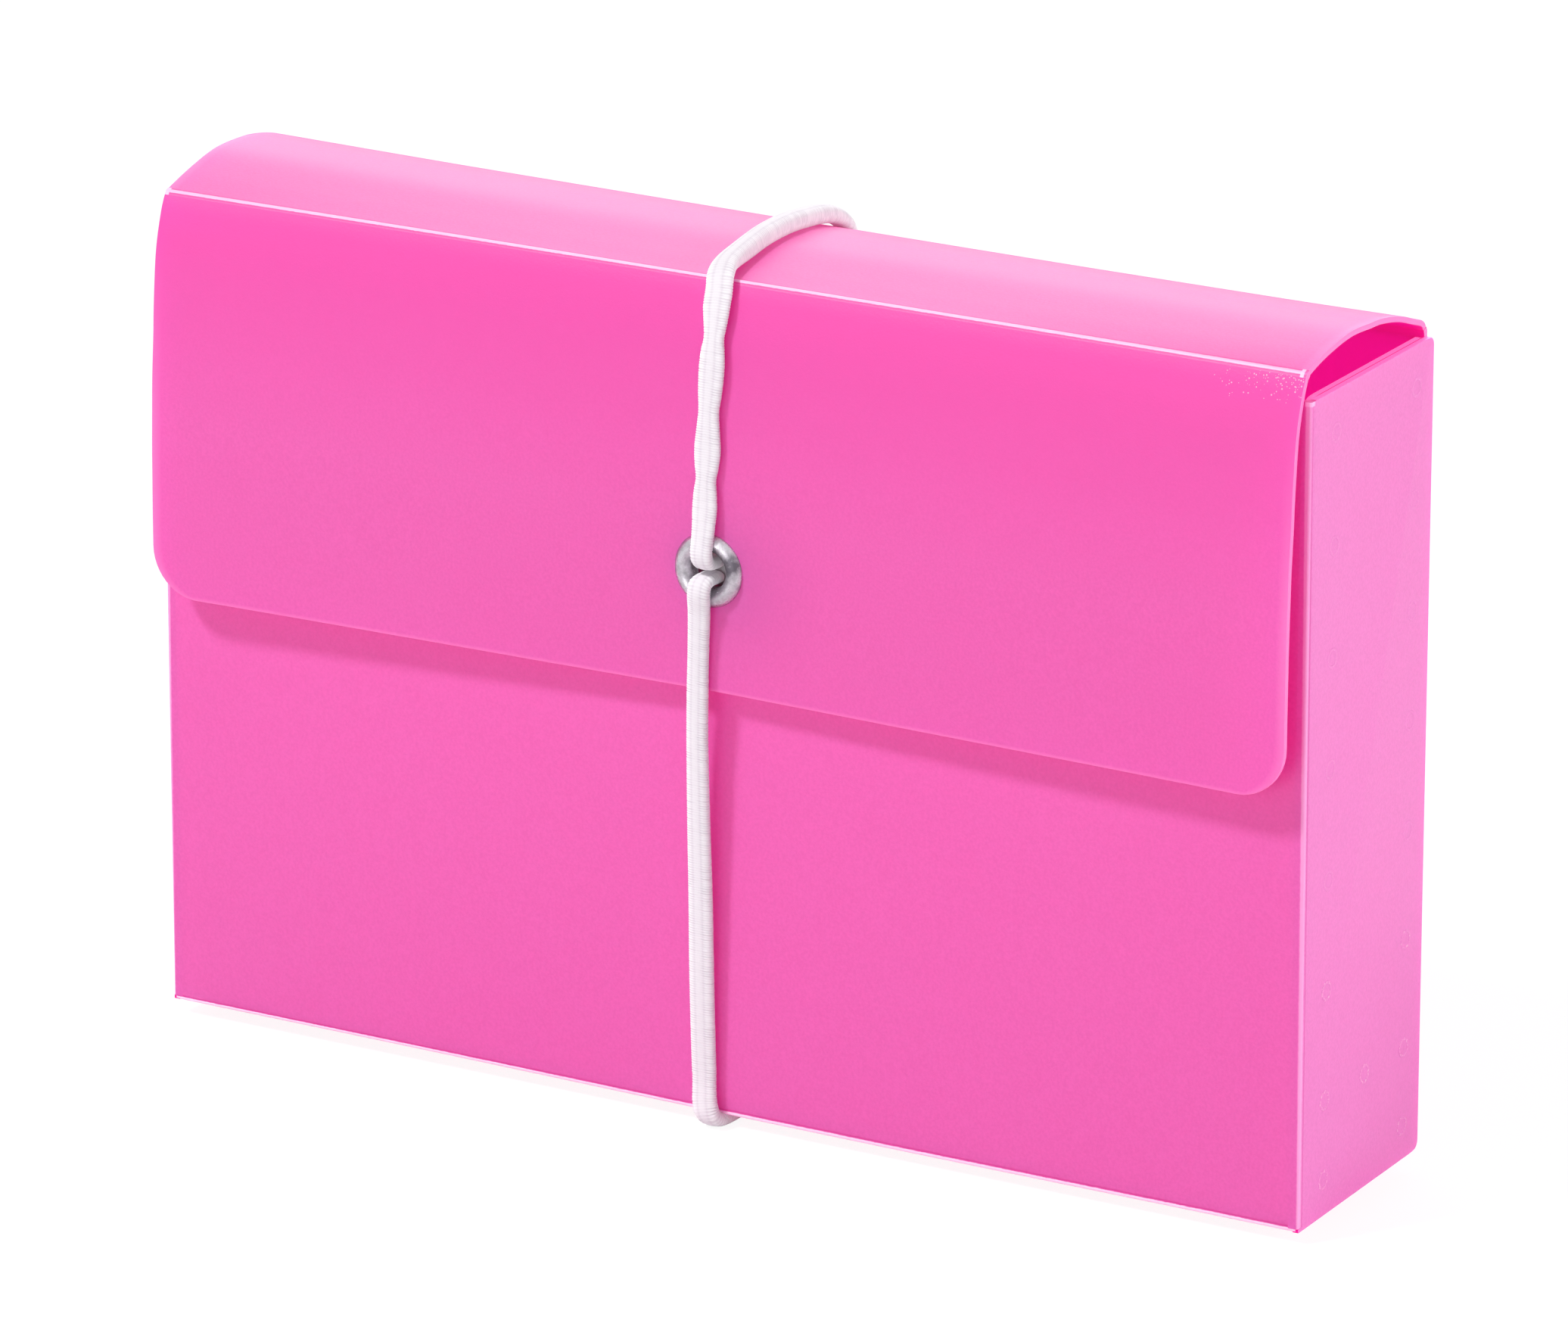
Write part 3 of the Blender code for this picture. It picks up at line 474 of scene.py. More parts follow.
def flat_panel(name, outline, outer, inner, to_space, materials, body, replaces, free=lambda at: True):
    """A flat panel of the sheet: outline in its plane, and the places of its outer and inner faces."""
    mesh = bmesh.new()
    rings = []
    for index, level in enumerate((outer, inner)):
        rings.append([mesh.verts.new(to_space(p.x, p.y, level)) for p in outline])
        mesh.faces.new(rings[-1]).material_index = index
    for i in range(len(outline)):
        rim = mesh.faces.new((rings[0][i - 1], rings[0][i], rings[1][i], rings[1][i - 1]))
        rim.material_index = 2 if free(rim.calc_center_median()) else 1
    bmesh.ops.recalc_face_normals(mesh, faces=mesh.faces)
    round_rims(mesh, free)
    return piece_from_mesh(name, mesh, materials, body, replaces)


def case_sheet(node, outline, outer, inner, to_space, materials, free):
    flat_panel(f"{node}_sheet", outline, outer, inner, to_space, materials, "case", [node], free)


def across_x(u, v, w):
    return Vector((w, u, v))


def across_y(u, v, w):
    return Vector((u, w, v))


def across_z(u, v, w):
    return Vector((u, v, w))


def grid_faces(mesh, rows, material):
    for i in range(len(rows) - 1):
        for j in range(len(rows[i]) - 1):
            face = mesh.faces.new((rows[i][j], rows[i + 1][j], rows[i + 1][j + 1], rows[i][j + 1]))
            face.material_index = material


def close_skins(mesh, outer, inner, end_material, side_material):
    """Closes two matching grids of points round their border: the ends of the rows, then the outermost rows.
    The second material is worked out from the face."""
    for i in range(len(outer) - 1):
        for j in (0, -1):
            end = mesh.faces.new((outer[i][j], outer[i + 1][j], inner[i + 1][j], inner[i][j]))
            end.material_index = end_material
    for i in (0, -1):
        for j in range(len(outer[i]) - 1):
            side = mesh.faces.new((outer[i][j], outer[i][j + 1], inner[i][j + 1], inner[i][j]))
            side.material_index = side_material(side)


def formed_panel(name, outer, inner, near, materials, body, replaces, free):
    """A curved panel of the sheet from matching grids of outer and inner points. near is the same grid again,
    with how near each point is to a free edge, from 0 to 1."""
    mesh = bmesh.new()
    layer = mesh.verts.layers.float.new("near_edge")
    skins = []
    for grid in (outer, inner):
        skins.append([])
        for row, row_near in zip(grid, near):
            skins[-1].append([mesh.verts.new(p) for p in row])
            for v, value in zip(skins[-1][-1], row_near):
                v[layer] = value
    for index, rows in enumerate(skins):
        grid_faces(mesh, rows, index)
    close_skins(mesh, *skins, 2, lambda rim: 2 if free(rim.calc_center_median()) else 1)
    bmesh.ops.recalc_face_normals(mesh, faces=mesh.faces)
    round_rims(mesh, free)
    return piece_from_mesh(name, mesh, materials, body, replaces)


def still(x, y, z):
    return Vector()


def section_strip(name, section, places, to_space, materials, body, replaces, shift=still):
    """A fold's cross-section, as its outer and inner points, drawn out through places along it. Its UV map
    holds millimetres. shift moves a place of both faces by what it gives for the outer one."""
    mesh = bmesh.new()
    layer = mesh.loops.layers.uv.new("fold_mm")
    outer = section[0]
    across = distances(np.array(outer))
    grids, reach = [], {}
    for points in section:
        rows = []
        for i, p in enumerate(points):
            row = [mesh.verts.new(to_space(*p, w) + shift(*to_space(*outer[i], w))) for w in places]
            for v, w in zip(row, places):
                reach[v] = (w, across[i] - across[-1] / 2)
            rows.append(row)
        grids.append(rows)
    for index, rows in enumerate(grids):
        grid_faces(mesh, rows, index)
    close_skins(mesh, *grids, 2, lambda closing: 1)
    for face in mesh.faces:
        for loop in face.loops:
            loop[layer].uv = reach[loop.vert]
    return piece_from_mesh(name, mesh, materials, body, replaces)


# Camera, light and floor

def make_camera():
    """A long lens from the front right, 18.5 degrees above the box, as the photograph was taken."""
    elevation, azimuth, roll = 0.32322, 0.52214, 0.00089
    focal, shift, aim = 14118.13, Vector((0.06778, 0.64316, 1148.1143)), Vector((0, 0, 45.29))
    forward = Vector((-math.sin(azimuth) * math.cos(elevation), math.cos(azimuth) * math.cos(elevation),
                      -math.sin(elevation)))
    level = Vector((math.cos(azimuth), math.sin(azimuth), 0))
    upward = level.cross(forward)
    right = level * math.cos(roll) + upward * math.sin(roll)
    up = upward * math.cos(roll) - level * math.sin(roll)
    eye = aim - right * shift.x + up * shift.y - forward * shift.z
    data = bpy.data.cameras.new("camera")
    data.sensor_width = SENSOR_WIDTH
    data.lens = focal / PHOTO_WIDTH * SENSOR_WIDTH
    data.clip_start, data.clip_end = 0.05, 50
    camera = in_scene("camera", data)
    turn = Matrix((right, up, -forward)).transposed().to_4x4()
    camera.matrix_world = Matrix.Translation(to_row(*eye)) @ turn
    bpy.context.scene.camera = camera


def soft_light(name, azimuth, elevation, distance, size, power):
    """A square soft box aimed at the box. Azimuth 0 is straight in front and 90 is to the right."""
    a, e = math.radians(azimuth), math.radians(elevation)
    away = Vector((math.sin(a) * math.cos(e), -math.cos(a) * math.cos(e), math.sin(e)))
    data = bpy.data.lights.new(name, "AREA")
    data.shape = "SQUARE"
    data.size = size
    data.energy = power
    lamp = in_scene(name, data)
    lamp.location = Vector((0, 0, 0.05)) + away * distance
    lamp.rotation_euler = away.to_track_quat("Z", "Y").to_euler()


def make_tent():
    """A white tent of light that is dimmer overhead and to the right, and white where the camera sees it."""
    world = bpy.data.worlds.new("studio")
    bpy.context.scene.world = world
    world.use_nodes = True
    world.node_tree.nodes.clear()
    add = partial(add_node, world.node_tree)
    x, _, z = add("SeparateXYZ", (add("TexCoord").outputs["Generated"],)).outputs
    overhead, to_right = add("MapRange", (z, 0.0, 0.9, 0.62, 0.2)), add("MapRange", (x, 0.1, 0.8, 1.0, 0.3))
    tent = add("Math", (overhead, to_right), operation="MULTIPLY")
    seen = add("LightPath").outputs
    to_eye = add("Math", (seen["Is Camera Ray"], seen["Is Glossy Ray"]), operation="MAXIMUM")
    strength = add("Mix", {"Factor": to_eye, "A": tent, "B": 1.0}, data_type="FLOAT")
    light = add("Background", {"Color": (1, 1, 1, 1), "Strength": strength})
    add("OutputWorld", {"Surface": light})


def make_floor():
    """A sweep of white paper that the camera sees as white with a faint shadow."""
    sweep, add, where = new_material("white_paper_sweep")
    seen = add("LightPath").outputs["Is Camera Ray"]
    grain = add("TexNoise", {"Vector": where, "Scale": 900.0})
    paper = add("BsdfDiffuse", {
        "Color": add("Mix", {"Factor": seen, "A": "#E8E8E8", "B": "#6C6C6C"}, data_type="RGBA"),
        "Normal": add("Bump", {"Height": grain, "Distance": 0.05 * MM, "Strength": 0.2})})
    strength = add("Math", (seen, 0.9), operation="MULTIPLY")
    glow = add("Emission", {"Color": (1, 1, 1, 1), "Strength": strength})
    add("OutputMaterial", {"Surface": add("AddShader", (paper, glow))})
    mesh = bmesh.new()
    bmesh.ops.create_grid(mesh, x_segments=1, y_segments=1, size=6)
    data = mesh_data("floor", mesh)
    data.materials.append(sweep)
    in_scene("floor", data)


def make_studio():
    make_tent()
    soft_light("key_soft_box", -35, 51, 2.4, 0.32, 44)
    soft_light("front_soft_box", 0, 6, 2.5, 1.4, 16)
    soft_light("right_soft_box", 104, 10, 2.0, 1.2, 34)
    soft_light("back_soft_box", 205, 28, 2.5, 2.0, 36)
    make_floor()


# The folded case

def bottom_hang(x):
    """How far the fold under the front hangs below the box's underside: most a little right of its middle."""
    t = x / HALF_WIDTH
    return 0.4 * math.exp(-(((t - 0.25) / 0.65) ** 2)) + 0.26 * max(t, 0) ** 2


def hang(x, y, z):
    """Hangs the front's bottom fold, and tucks its ends behind the side folds."""
    near = max(1 - (y - FRONT) / FOLD_REACH, 0) * max(1 - z / FOLD_REACH, 0)
    tuck = 0.04 if abs(x) > HALF_WIDTH - FOLD_REACH + HAIR else 0
    return Vector((0, tuck, -bottom_hang(x) * near))


def make_walls(sheet):
    faces = [sheet["outside"], sheet["inside"], sheet["rim"]]
    half = HALF_WIDTH - FOLD_REACH
    case_sheet("front_wall", rectangle(-half, half, FOLD_REACH, FRONT_WALL_TOP), FRONT, FRONT + SHEET,
               across_y, faces, lambda at: at.z > FRONT_WALL_TOP - HAIR)
    half = TAB_OUTER - FOLD_REACH
    case_sheet("back_wall", rectangle(-half, half, FOLD_REACH, BACK_WALL_TOP), BACK, BACK - SHEET,
               across_y, faces, lambda at: False)
    half = BOTTOM_TAB_OUTER - FOLD_REACH
    case_sheet("bottom_panel", rectangle(-half, half, FRONT + FOLD_REACH, BACK - FOLD_REACH), 0, SHEET,
               across_z, faces, lambda at: False)


def make_sides(sheet):
    faces = [sheet["side"], sheet["inside"], sheet["top_rim"]]
    wing_near, tip = FRONT + FOLD_REACH, FRONT + 0.12
    tab_near, tab_far = FRONT + SHEET + 0.4, BACK - FOLD_REACH
    tab = rectangle(tab_near, tab_far, FOLD_REACH, TAB_TOP, (TAB_CORNER, 0, 0, TAB_CORNER))
    for name, hand in SIDES:
        low = -bottom_hang(hand * HALF_WIDTH)
        wing = rounded_outline([(tip, low), (WING_BACK, 0), (WING_BACK, WING_TOP), (wing_near, WING_TOP),
                                (wing_near, low + FOLD_START), (tip, low + FOLD_START)],
                               (0.1, WING_CORNER, WING_CORNER, 0, 0, 0))
        case_sheet(f"side_wing_{name}", wing, hand * HALF_WIDTH, hand * WING_INNER, across_x, faces,
                   lambda at: at.y > wing_near + HAIR)
        case_sheet(f"inner_tab_{name}", tab, hand * TAB_OUTER, hand * TAB_INNER, across_x, faces,
                   lambda at: at.y < tab_far - HAIR)
        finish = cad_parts[f"bottom_tab_{name}"].data.materials
        finish.clear()
        finish.append(sheet["inside"])


def fold_section(radius, groove):
    """Outer and inner points of a square fold, in a plane where the corner is 0, 0 and the panels run to
    -x and +y. A shallow groove lies beside the rounded bend, on the second panel."""
    outer = [Vector((-FOLD_REACH, 0)), Vector((-radius - 0.3, 0))]
    for k in range(11):
        angle = math.pi / 2 * k / 10
        outer.append(Vector((-radius + radius * math.sin(angle), radius - radius * math.cos(angle))))
    sunk = ((0.08, 0.6), (0.16, 1), (0.24, 0.6), (0.34, 0))
    outer += [Vector((-groove * depth, radius + run)) for run, depth in sunk]
    outer.append(Vector((0, FOLD_REACH)))
    bend, straight = 0.15, 0.35
    run = FOLD_REACH - SHEET - bend
    inner = []
    for k in range(len(outer)):
        share = k / (len(outer) - 1)
        if share < straight:
            inner.append(Vector((-FOLD_REACH + run * share / straight, SHEET)))
        elif share > 1 - straight:
            inner.append(Vector((-SHEET, SHEET + bend + run * (share - 1 + straight) / straight)))
        else:
            angle = math.pi / 2 * (share - straight) / (1 - 2 * straight)
            inner.append(Vector((-SHEET - bend + bend * math.sin(angle),
                                 SHEET + bend - bend * math.cos(angle))))
    return outer, inner


def make_folds(sheet):
    """The case's scored folds. Each section is turned into place by the signs of its two panels."""
    front, side = (FRONT_PINKS, SHARE), (SIDE_PINKS, SIDE_SHARE)
    upright = scored_fold("polypropylene_scored_side_fold", front, side, (-0.53, -0.02, 0.18, 0.72, 0.58),
                          [(0.3, 0.42, 0.5)], "#F8B8E2", ends=[(WING_TOP - 0.45, WING_TOP + 0.1)],
                          wander=(0.5, 0.0))
    level = scored_fold("polypropylene_scored_bottom_fold", front, front, (-0.5, 0.27, 0.07, 1.0, 1.0),
                        [(0.36, 0.48, 0.6)], "#FFDCF2")
    upright, level = [upright, sheet["inside"], upright], [level, sheet["inside"], level]
    section = fold_section(0.32, 0.06)

    def crease(name, corner, signs, places, to_space, finish, shift=still):
        placed = [[Vector((p.x * signs[0] + corner[0], p.y * signs[1] + corner[1])) for p in points]
                  for points in section]
        section_strip(f"crease_{name}_fold", placed, places, to_space, finish, "case", [f"crease_{name}"],
                      shift)

    for name, hand in SIDES:
        start = FOLD_START - bottom_hang(HALF_WIDTH * hand)
        crease(f"front_{name}", (HALF_WIDTH * hand, FRONT), (hand, 1), (start, WING_TOP), across_z, upright)
        crease(f"back_{name}", (TAB_OUTER * hand, BACK), (hand, -1), (BACK_FOLD_START, BACK_WALL_TOP),
               across_z, upright)
        crease(f"bottom_{name}", (BOTTOM_TAB_OUTER * hand, 0), (hand, 1),
               (FRONT + FOLD_REACH, BACK - FOLD_REACH), across_y, level)
    half = HALF_WIDTH - FOLD_REACH
    places = [-half - 0.85, -half - 0.05, *np.linspace(-half, half, 25), half + 0.05, half + 0.85]
    crease("front_bottom", (FRONT, 0), (-1, 1), places, across_x, level, hang)
    half = TAB_OUTER - FOLD_REACH
    crease("back_bottom", (BACK, 0), (1, 1), (-half, half), across_x, level)


def weld_ring_nodes():
    """A node group that lays flattened rings on points, and the names by which its inputs are set."""
    tree = bpy.data.node_groups.new("weld_rings", "GeometryNodeTree")
    kinds = {"Geometry": "Geometry", "Ring radius": "Float", "Bead radius": "Float",
             "Bead height share": "Float", "Finish": "Material"}
    names = {}
    for label, kind in kinds.items():
        socket = tree.interface.new_socket(label, in_out="INPUT", socket_type=f"NodeSocket{kind}")
        names[label] = socket.identifier
    tree.interface.new_socket("Geometry", in_out="OUTPUT", socket_type="NodeSocketGeometry")
    add = partial(add_node, tree)
    given = add("NodeGroupInput").outputs
    ring = add("GeometryNodeCurvePrimitiveCircle", {"Resolution": 28, "Radius": given["Ring radius"]})
    bead = add("GeometryNodeCurvePrimitiveCircle", {"Resolution": 8, "Radius": given["Bead radius"]})
    tube = add("GeometryNodeCurveToMesh", {"Curve": ring, "Profile Curve": bead})
    flat = add("CombineXYZ", (1.0, 1.0, given["Bead height share"]))
    pressed = add("GeometryNodeTransform", {"Geometry": tube, "Scale": flat})
    upright = add("GeometryNodeTransform", {"Geometry": pressed, "Rotation": (0, math.pi / 2, 0)})
    placed = add("GeometryNodeInstanceOnPoints", {"Points": given["Geometry"], "Instance": upright})
    real = add("GeometryNodeRealizeInstances", (placed,))
    add("NodeGroupOutput", (add("GeometryNodeSetMaterial", {"Geometry": real, "Material": given["Finish"]}),))
    return tree, names


def make_welds():
    """Spot welds that fuse the wing to the tabs behind it: faint raised rings about 2 mm wide."""
    fused = fused_polypropylene("polypropylene_spot_weld", "#FCD4EE")
    faint = fused_polypropylene("polypropylene_shallow_spot_weld", "#ECA4DE")
    tree, names = weld_ring_nodes()
    places = [(y, z) for z in WELD_ROWS for y in (WELD_FRONT, WELD_BACK)] + [(WELD_MIDDLE, WELD_ROWS[1])]
    low = [place for place in places if place[1] < WELD_FAINT]
    high = [place for place in places if place[1] > WELD_FAINT]
    for ending, chosen, flatness, finish in (("", low, 0.16, fused), ("_upper", high, 0.03, faint)):
        values = {"Ring radius": 0.95 * MM, "Bead radius": 0.16 * MM, "Bead height share": flatness,
                  "Finish": finish}
        for side, hand in SIDES:
            points = bpy.data.meshes.new(f"weld_points_{side}{ending}")
            points.from_pydata([to_row(hand * HALF_WIDTH, y, z) for y, z in chosen], [], [])
            holder = in_scene(points.name, points)
            modifier = holder.modifiers.new("rings", "NODES")
            modifier.node_group = tree
            for label, value in values.items():
                modifier[names[label]] = value
            graph = bpy.context.evaluated_depsgraph_get()
            data = bpy.data.meshes.new_from_object(holder.evaluated_get(graph))
            bpy.data.objects.remove(holder)
            shade_smooth(data)
            rings = in_scene(f"weld_rings_{side}{ending}", data)
            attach(rings, "case")


# Lid and flap

def dome_path():
    """The lid's outer face from the flap's crease to the back crease, as (y, z)."""
    points = []
    for depth, rise in DOME_SHAPE:
        at = FRONT_CREASE.lerp(BACK_CREASE, depth)
        points.append((at.x, at.y + DOME_RISE * rise))
    return smooth_path(points, 8)


def flap_path():
    """The flap's outer face at its ends, from its crease down to its lower edge, as (y, z)."""
    points = [(FRONT_CREASE.x - FLAP_BULGE * b, FRONT_CREASE.y - FLAP_DROP * d) for d, b in FLAP_SHAPE]
    return smooth_path(points, 8)


def cut_path(path, start, end, count):
    """Evenly spaced points of a path, from a distance after its start to a distance before its end."""
    reached = distances(path)
    return at_distances(path, reached, np.linspace(start, reached[-1] - end, count))


def flap_bow(x, z):
    """How far the cord pulls the flap inwards: a broad bow at its lower edge, and a dimple at the eyelet."""
    drop = (FRONT_CREASE.y - z) / FLAP_DROP
    broad = FLAP_BOW * (1 - abs(x) / LID_HALF) ** 1.3 * max(drop, 0) ** 3
    away = math.hypot(x, z - EYELET_HEIGHT)
    return broad + 0.18 * math.exp(-((away / 7) ** 2))


def settle(x, y, z):
    """How far the lid and the top of the flap lie above their even shape. The sheet has crept under the cord:
    its front fold has risen a little towards the right, the dome has sunk under the cord and along its back,
    and its free right end stands fuller in front."""
    t = x / LID_HALF
    fold = 0.33 + 0.215 * t - 0.165 * t * t
    if y < FRONT_CREASE.x:
        drop = (FRONT_CREASE.y - z) / FLAP_DROP
        return fold * max(1 - drop / 0.5, 0) ** 2 - (0.2 + 0.2 * abs(t) ** 6) * min(max(drop, 0), 1) ** 3
    depth = min((y - FRONT_CREASE.x) / (BACK_CREASE.x - FRONT_CREASE.x), 1)
    right = 0.4 * max((t - 0.3) / 0.7, 0) ** 1.5 * math.sin(math.pi * min(depth / 0.52, 1) ** 0.7)
    middle = 0.3 * max((-t - 0.6) / 0.4, 0) ** 1.5 - 0.36 * (1 - t * t) ** 2
    back = -0.42 - 0.2 * t + 0.21 * max((t - 0.8) / 0.2, 0) ** 1.5
    return (fold * max(1 - depth / 0.35, 0) ** 1.5 + right + middle * math.sin(math.pi * depth ** 0.85)
            + back * math.sin(math.pi * depth ** 6.6))


def settled(x, y, z):
    return Vector((0, 0, settle(x, y, z)))


def make_lid(sheet):
    path = cut_path(dome_path(), CREASE_REACH, CREASE_REACH, 72)
    normals = left_normals(path)
    columns = list(np.linspace(-LID_HALF + EDGE_GLOW, LID_HALF - EDGE_GLOW, 31))
    columns = [-LID_HALF, -LID_HALF + EDGE_COLUMN] + columns + [LID_HALF - EDGE_COLUMN, LID_HALF]
    near = [max(1 - (LID_HALF - abs(x)) / EDGE_GLOW, 0) for x in columns]
    outer = [[(x, p[0], p[1] + settle(x, *p)) for x in columns] for p in path]
    inner = [[(x, p[0] - n[0] * SHEET, p[1] - n[1] * SHEET + settle(x, *p)) for x in columns]
             for p, n in zip(path, normals)]
    formed_panel("lid_sheet", outer, inner, [near] * len(path), [sheet["lid"], sheet["inside"], sheet["rim"]],
                 "lid", ["lid_panel"], free=lambda at: abs(at.x) > LID_HALF - HAIR)


def make_flap(sheet):
    full = flap_path()
    lengths = distances(full)
    total = lengths[-1]
    rows = list(np.linspace(CREASE_REACH, total - FLAP_CORNER, 64))
    narrow = [0.0] * len(rows)
    for k in range(1, 13):
        angle = math.pi / 2 * k / 12
        rows.append(total - FLAP_CORNER * (1 - math.sin(angle)))
        narrow.append(FLAP_CORNER * (1 - math.cos(angle)))
    path = at_distances(full, lengths, rows)
    normals = -left_normals(path)
    shares = np.linspace(-1, 1, 97)
    shares = np.sign(shares) * abs(shares) ** 1.25
    outer, inner, near = [], [], []
    for row, p, n, cut in zip(rows, path, normals, narrow):
        half = LID_HALF - cut
        middle = shares * (half - EDGE_GLOW)
        xs = [-half, -half + EDGE_COLUMN, *middle, half - EDGE_COLUMN, half]
        bows = [flap_bow(x, p[1]) for x in xs]
        pushed = [(x, p[0] - n[0] * bow, p[1] - n[1] * bow + settle(x, *p)) for x, bow in zip(xs, bows)]
        outer.append(pushed)
        inner.append([(x, y - n[0] * SHEET, z - n[1] * SHEET) for x, y, z in pushed])
        low = max(1 - (total - row) / FLAP_LIP, 0)
        near.append([max(low, 1 - (half - abs(x)) / EDGE_GLOW) for x in xs])
    flap = formed_panel("flap_sheet", outer, inner, near, [sheet["flap"], sheet["inside"], sheet["rim"]],
                        "flap", ["closure_flap"],
                        free=lambda at: abs(at.x) > LID_HALF - HAIR or at.z < EYELET_HEIGHT)
    cut_hole(flap)


def cut_hole(flap):
    """Punches the flap for the eyelet's barrel."""
    mesh = bmesh.new()
    centre = Matrix.Translation((EYELET_X, FLAP_MIDDLE, EYELET_HEIGHT))
    bmesh.ops.create_cone(mesh, cap_ends=True, segments=64, radius1=EYELET_HOLE, radius2=EYELET_HOLE, depth=8,
                          matrix=centre @ Matrix.Rotation(math.pi / 2, 4, "X"))
    move_to_row(mesh)
    punch = in_scene("punch", mesh_data("punch", mesh))
    cut = flap.modifiers.new("punched", "BOOLEAN")
    cut.operation = "DIFFERENCE"
    cut.object = punch
    graph = bpy.context.evaluated_depsgraph_get()
    holed = bpy.data.meshes.new_from_object(flap.evaluated_get(graph))
    flap.modifiers.clear()
    flap.data = holed
    bpy.data.objects.remove(punch)


def bent_section(before, corner, after, radius):
    """Outer and inner points of a fold between two panels' ends. Its inner side runs straight across."""
    outer = [before, before.lerp(corner, 0.3)] + corner_arc(before, corner, after, radius, 10)
    outer += [after.lerp(corner, 0.3), after]
    first, last = (corner - before).normalized(), (after - corner).normalized()
    start = before + Vector((first.y, -first.x)) * SHEET
    end = after + Vector((last.y, -last.x)) * SHEET
    return outer, [start.lerp(end, k / (len(outer) - 1)) for k in range(len(outer))]


def make_turning_folds(sheet):
    """The two folds that the joints bend: lid to flap, and lid to back wall."""
    places = np.linspace(-LID_HALF, LID_HALF, 25)

    def turning_fold(name, side, first, second, section, node):
        finish = scored_fold(f"polypropylene_scored_{side}_fold", (first, SHARE), (second, SHARE),
                             (-0.15, 0.2, 0.06, 0.9, 0.9), [(-0.32, -0.24, 0.6), (0.3, 0.44, 0.5)], "#EFC4E2",
                             ends=[(-69.5, -68.85), (68.6, 68.95)], reach=(-69.3, 68.9))
        return section_strip(name, section, places, across_x, [finish, sheet["inside"], sheet["rim"]], None,
                             [node], settled)

    dome = dome_path()
    before = cut_path(flap_path(), CREASE_REACH, 0, 2)[0]
    after = cut_path(dome, CREASE_REACH, 0, 2)[0]
    section = bent_section(Vector(before), FRONT_CREASE, Vector(after), 0.2)
    strip = turning_fold("flap_fold", "front", FLAP_PINKS, LID_PINKS, section, "flap_hinge_crease")
    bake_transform(strip)

    start = cut_path(dome, 0, CREASE_REACH, 2)[-1]
    end = Vector((BACK, BACK_WALL_TOP))
    section = bent_section(Vector(start), BACK_CREASE, end, 0.5)
    strip = turning_fold("lid_fold", "back", LID_PINKS, FRONT_PINKS, section, "lid_hinge_crease")
    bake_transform(strip)


# Eyelet, washer and clamp

def turned_ring(name, profile, finish, node):
    """A ring turned about an axis through the eyelet: profile points are (radius, y), round a closed loop."""
    mesh = bmesh.new()
    steps = 96
    rings = []
    for k in range(steps):
        angle = math.tau * k / steps
        rings.append([mesh.verts.new((EYELET_X + r * math.cos(angle), y,
                                      EYELET_HEIGHT + 0.2 + r * math.sin(angle))) for r, y in profile])
    for k in range(steps):
        for i in range(len(profile)):
            mesh.faces.new((rings[k - 1][i - 1], rings[k - 1][i], rings[k][i], rings[k][i - 1]))
    piece_from_mesh(name, mesh, [finish], "flap", [node])


def make_metal():
    """The eyelet, its washer, and the flat clip on the cord's two ends, a pressed plate with rolled edges."""
    # Where the painted dark reflection lies, on the flange's upper right crest
    dark_reflection_at = to_row(EYELET_X + 2.95, -17.6, EYELET_HEIGHT + 1.25)
    nickel = tumbled_plate("nickel_plated_brass_satin", "#CCC6CE", "#6A646D", 0.3, dark_reflection_at)
    steel = tumbled_plate("zinc_plated_steel_clip", "#B4B0B4", "#8A868A", 0.36)
    crown = smooth_path([(2.1, -15.9), (2.12, -16.7), (2.25, -17.15), (2.6, -17.55), (3.05, -17.74),
                         (3.45, -17.66), (3.8, -17.42), (4.04, -17.1), (4.11, -16.92)], 4)
    rear = [(4.07, -16.86), (2.35, -16.86), (2.35, -15.75), (2.6, -15.72), (3.1, -15.74), (3.12, -15.6),
            (2.8, -15.5), (2.35, -15.49), (2.12, -15.62)]
    turned_ring("eyelet_flange", [tuple(p) for p in crown] + rear, nickel, "eyelet")
    washer = [(2.5, -16.05), (3.75, -16.05), (3.8, -16.0), (3.8, -15.85), (3.75, -15.8), (2.5, -15.8)]
    turned_ring("eyelet_washer_ring", washer, nickel, "eyelet_washer")
    outline = rectangle(-2.7, 2.7, EYELET_HEIGHT - 2.4, EYELET_HEIGHT + 2.4, (0.9,) * 4)
    flat_panel("elastic_clip", outline, -15.19, -14.25, across_y, [steel] * 3, "flap",
               ["elastic_clamp"])


# Elastic

# The braid's ribs are drawn a little longer than the real ones, so that they show
RIB, CORD_SIDES = 0.28, 36


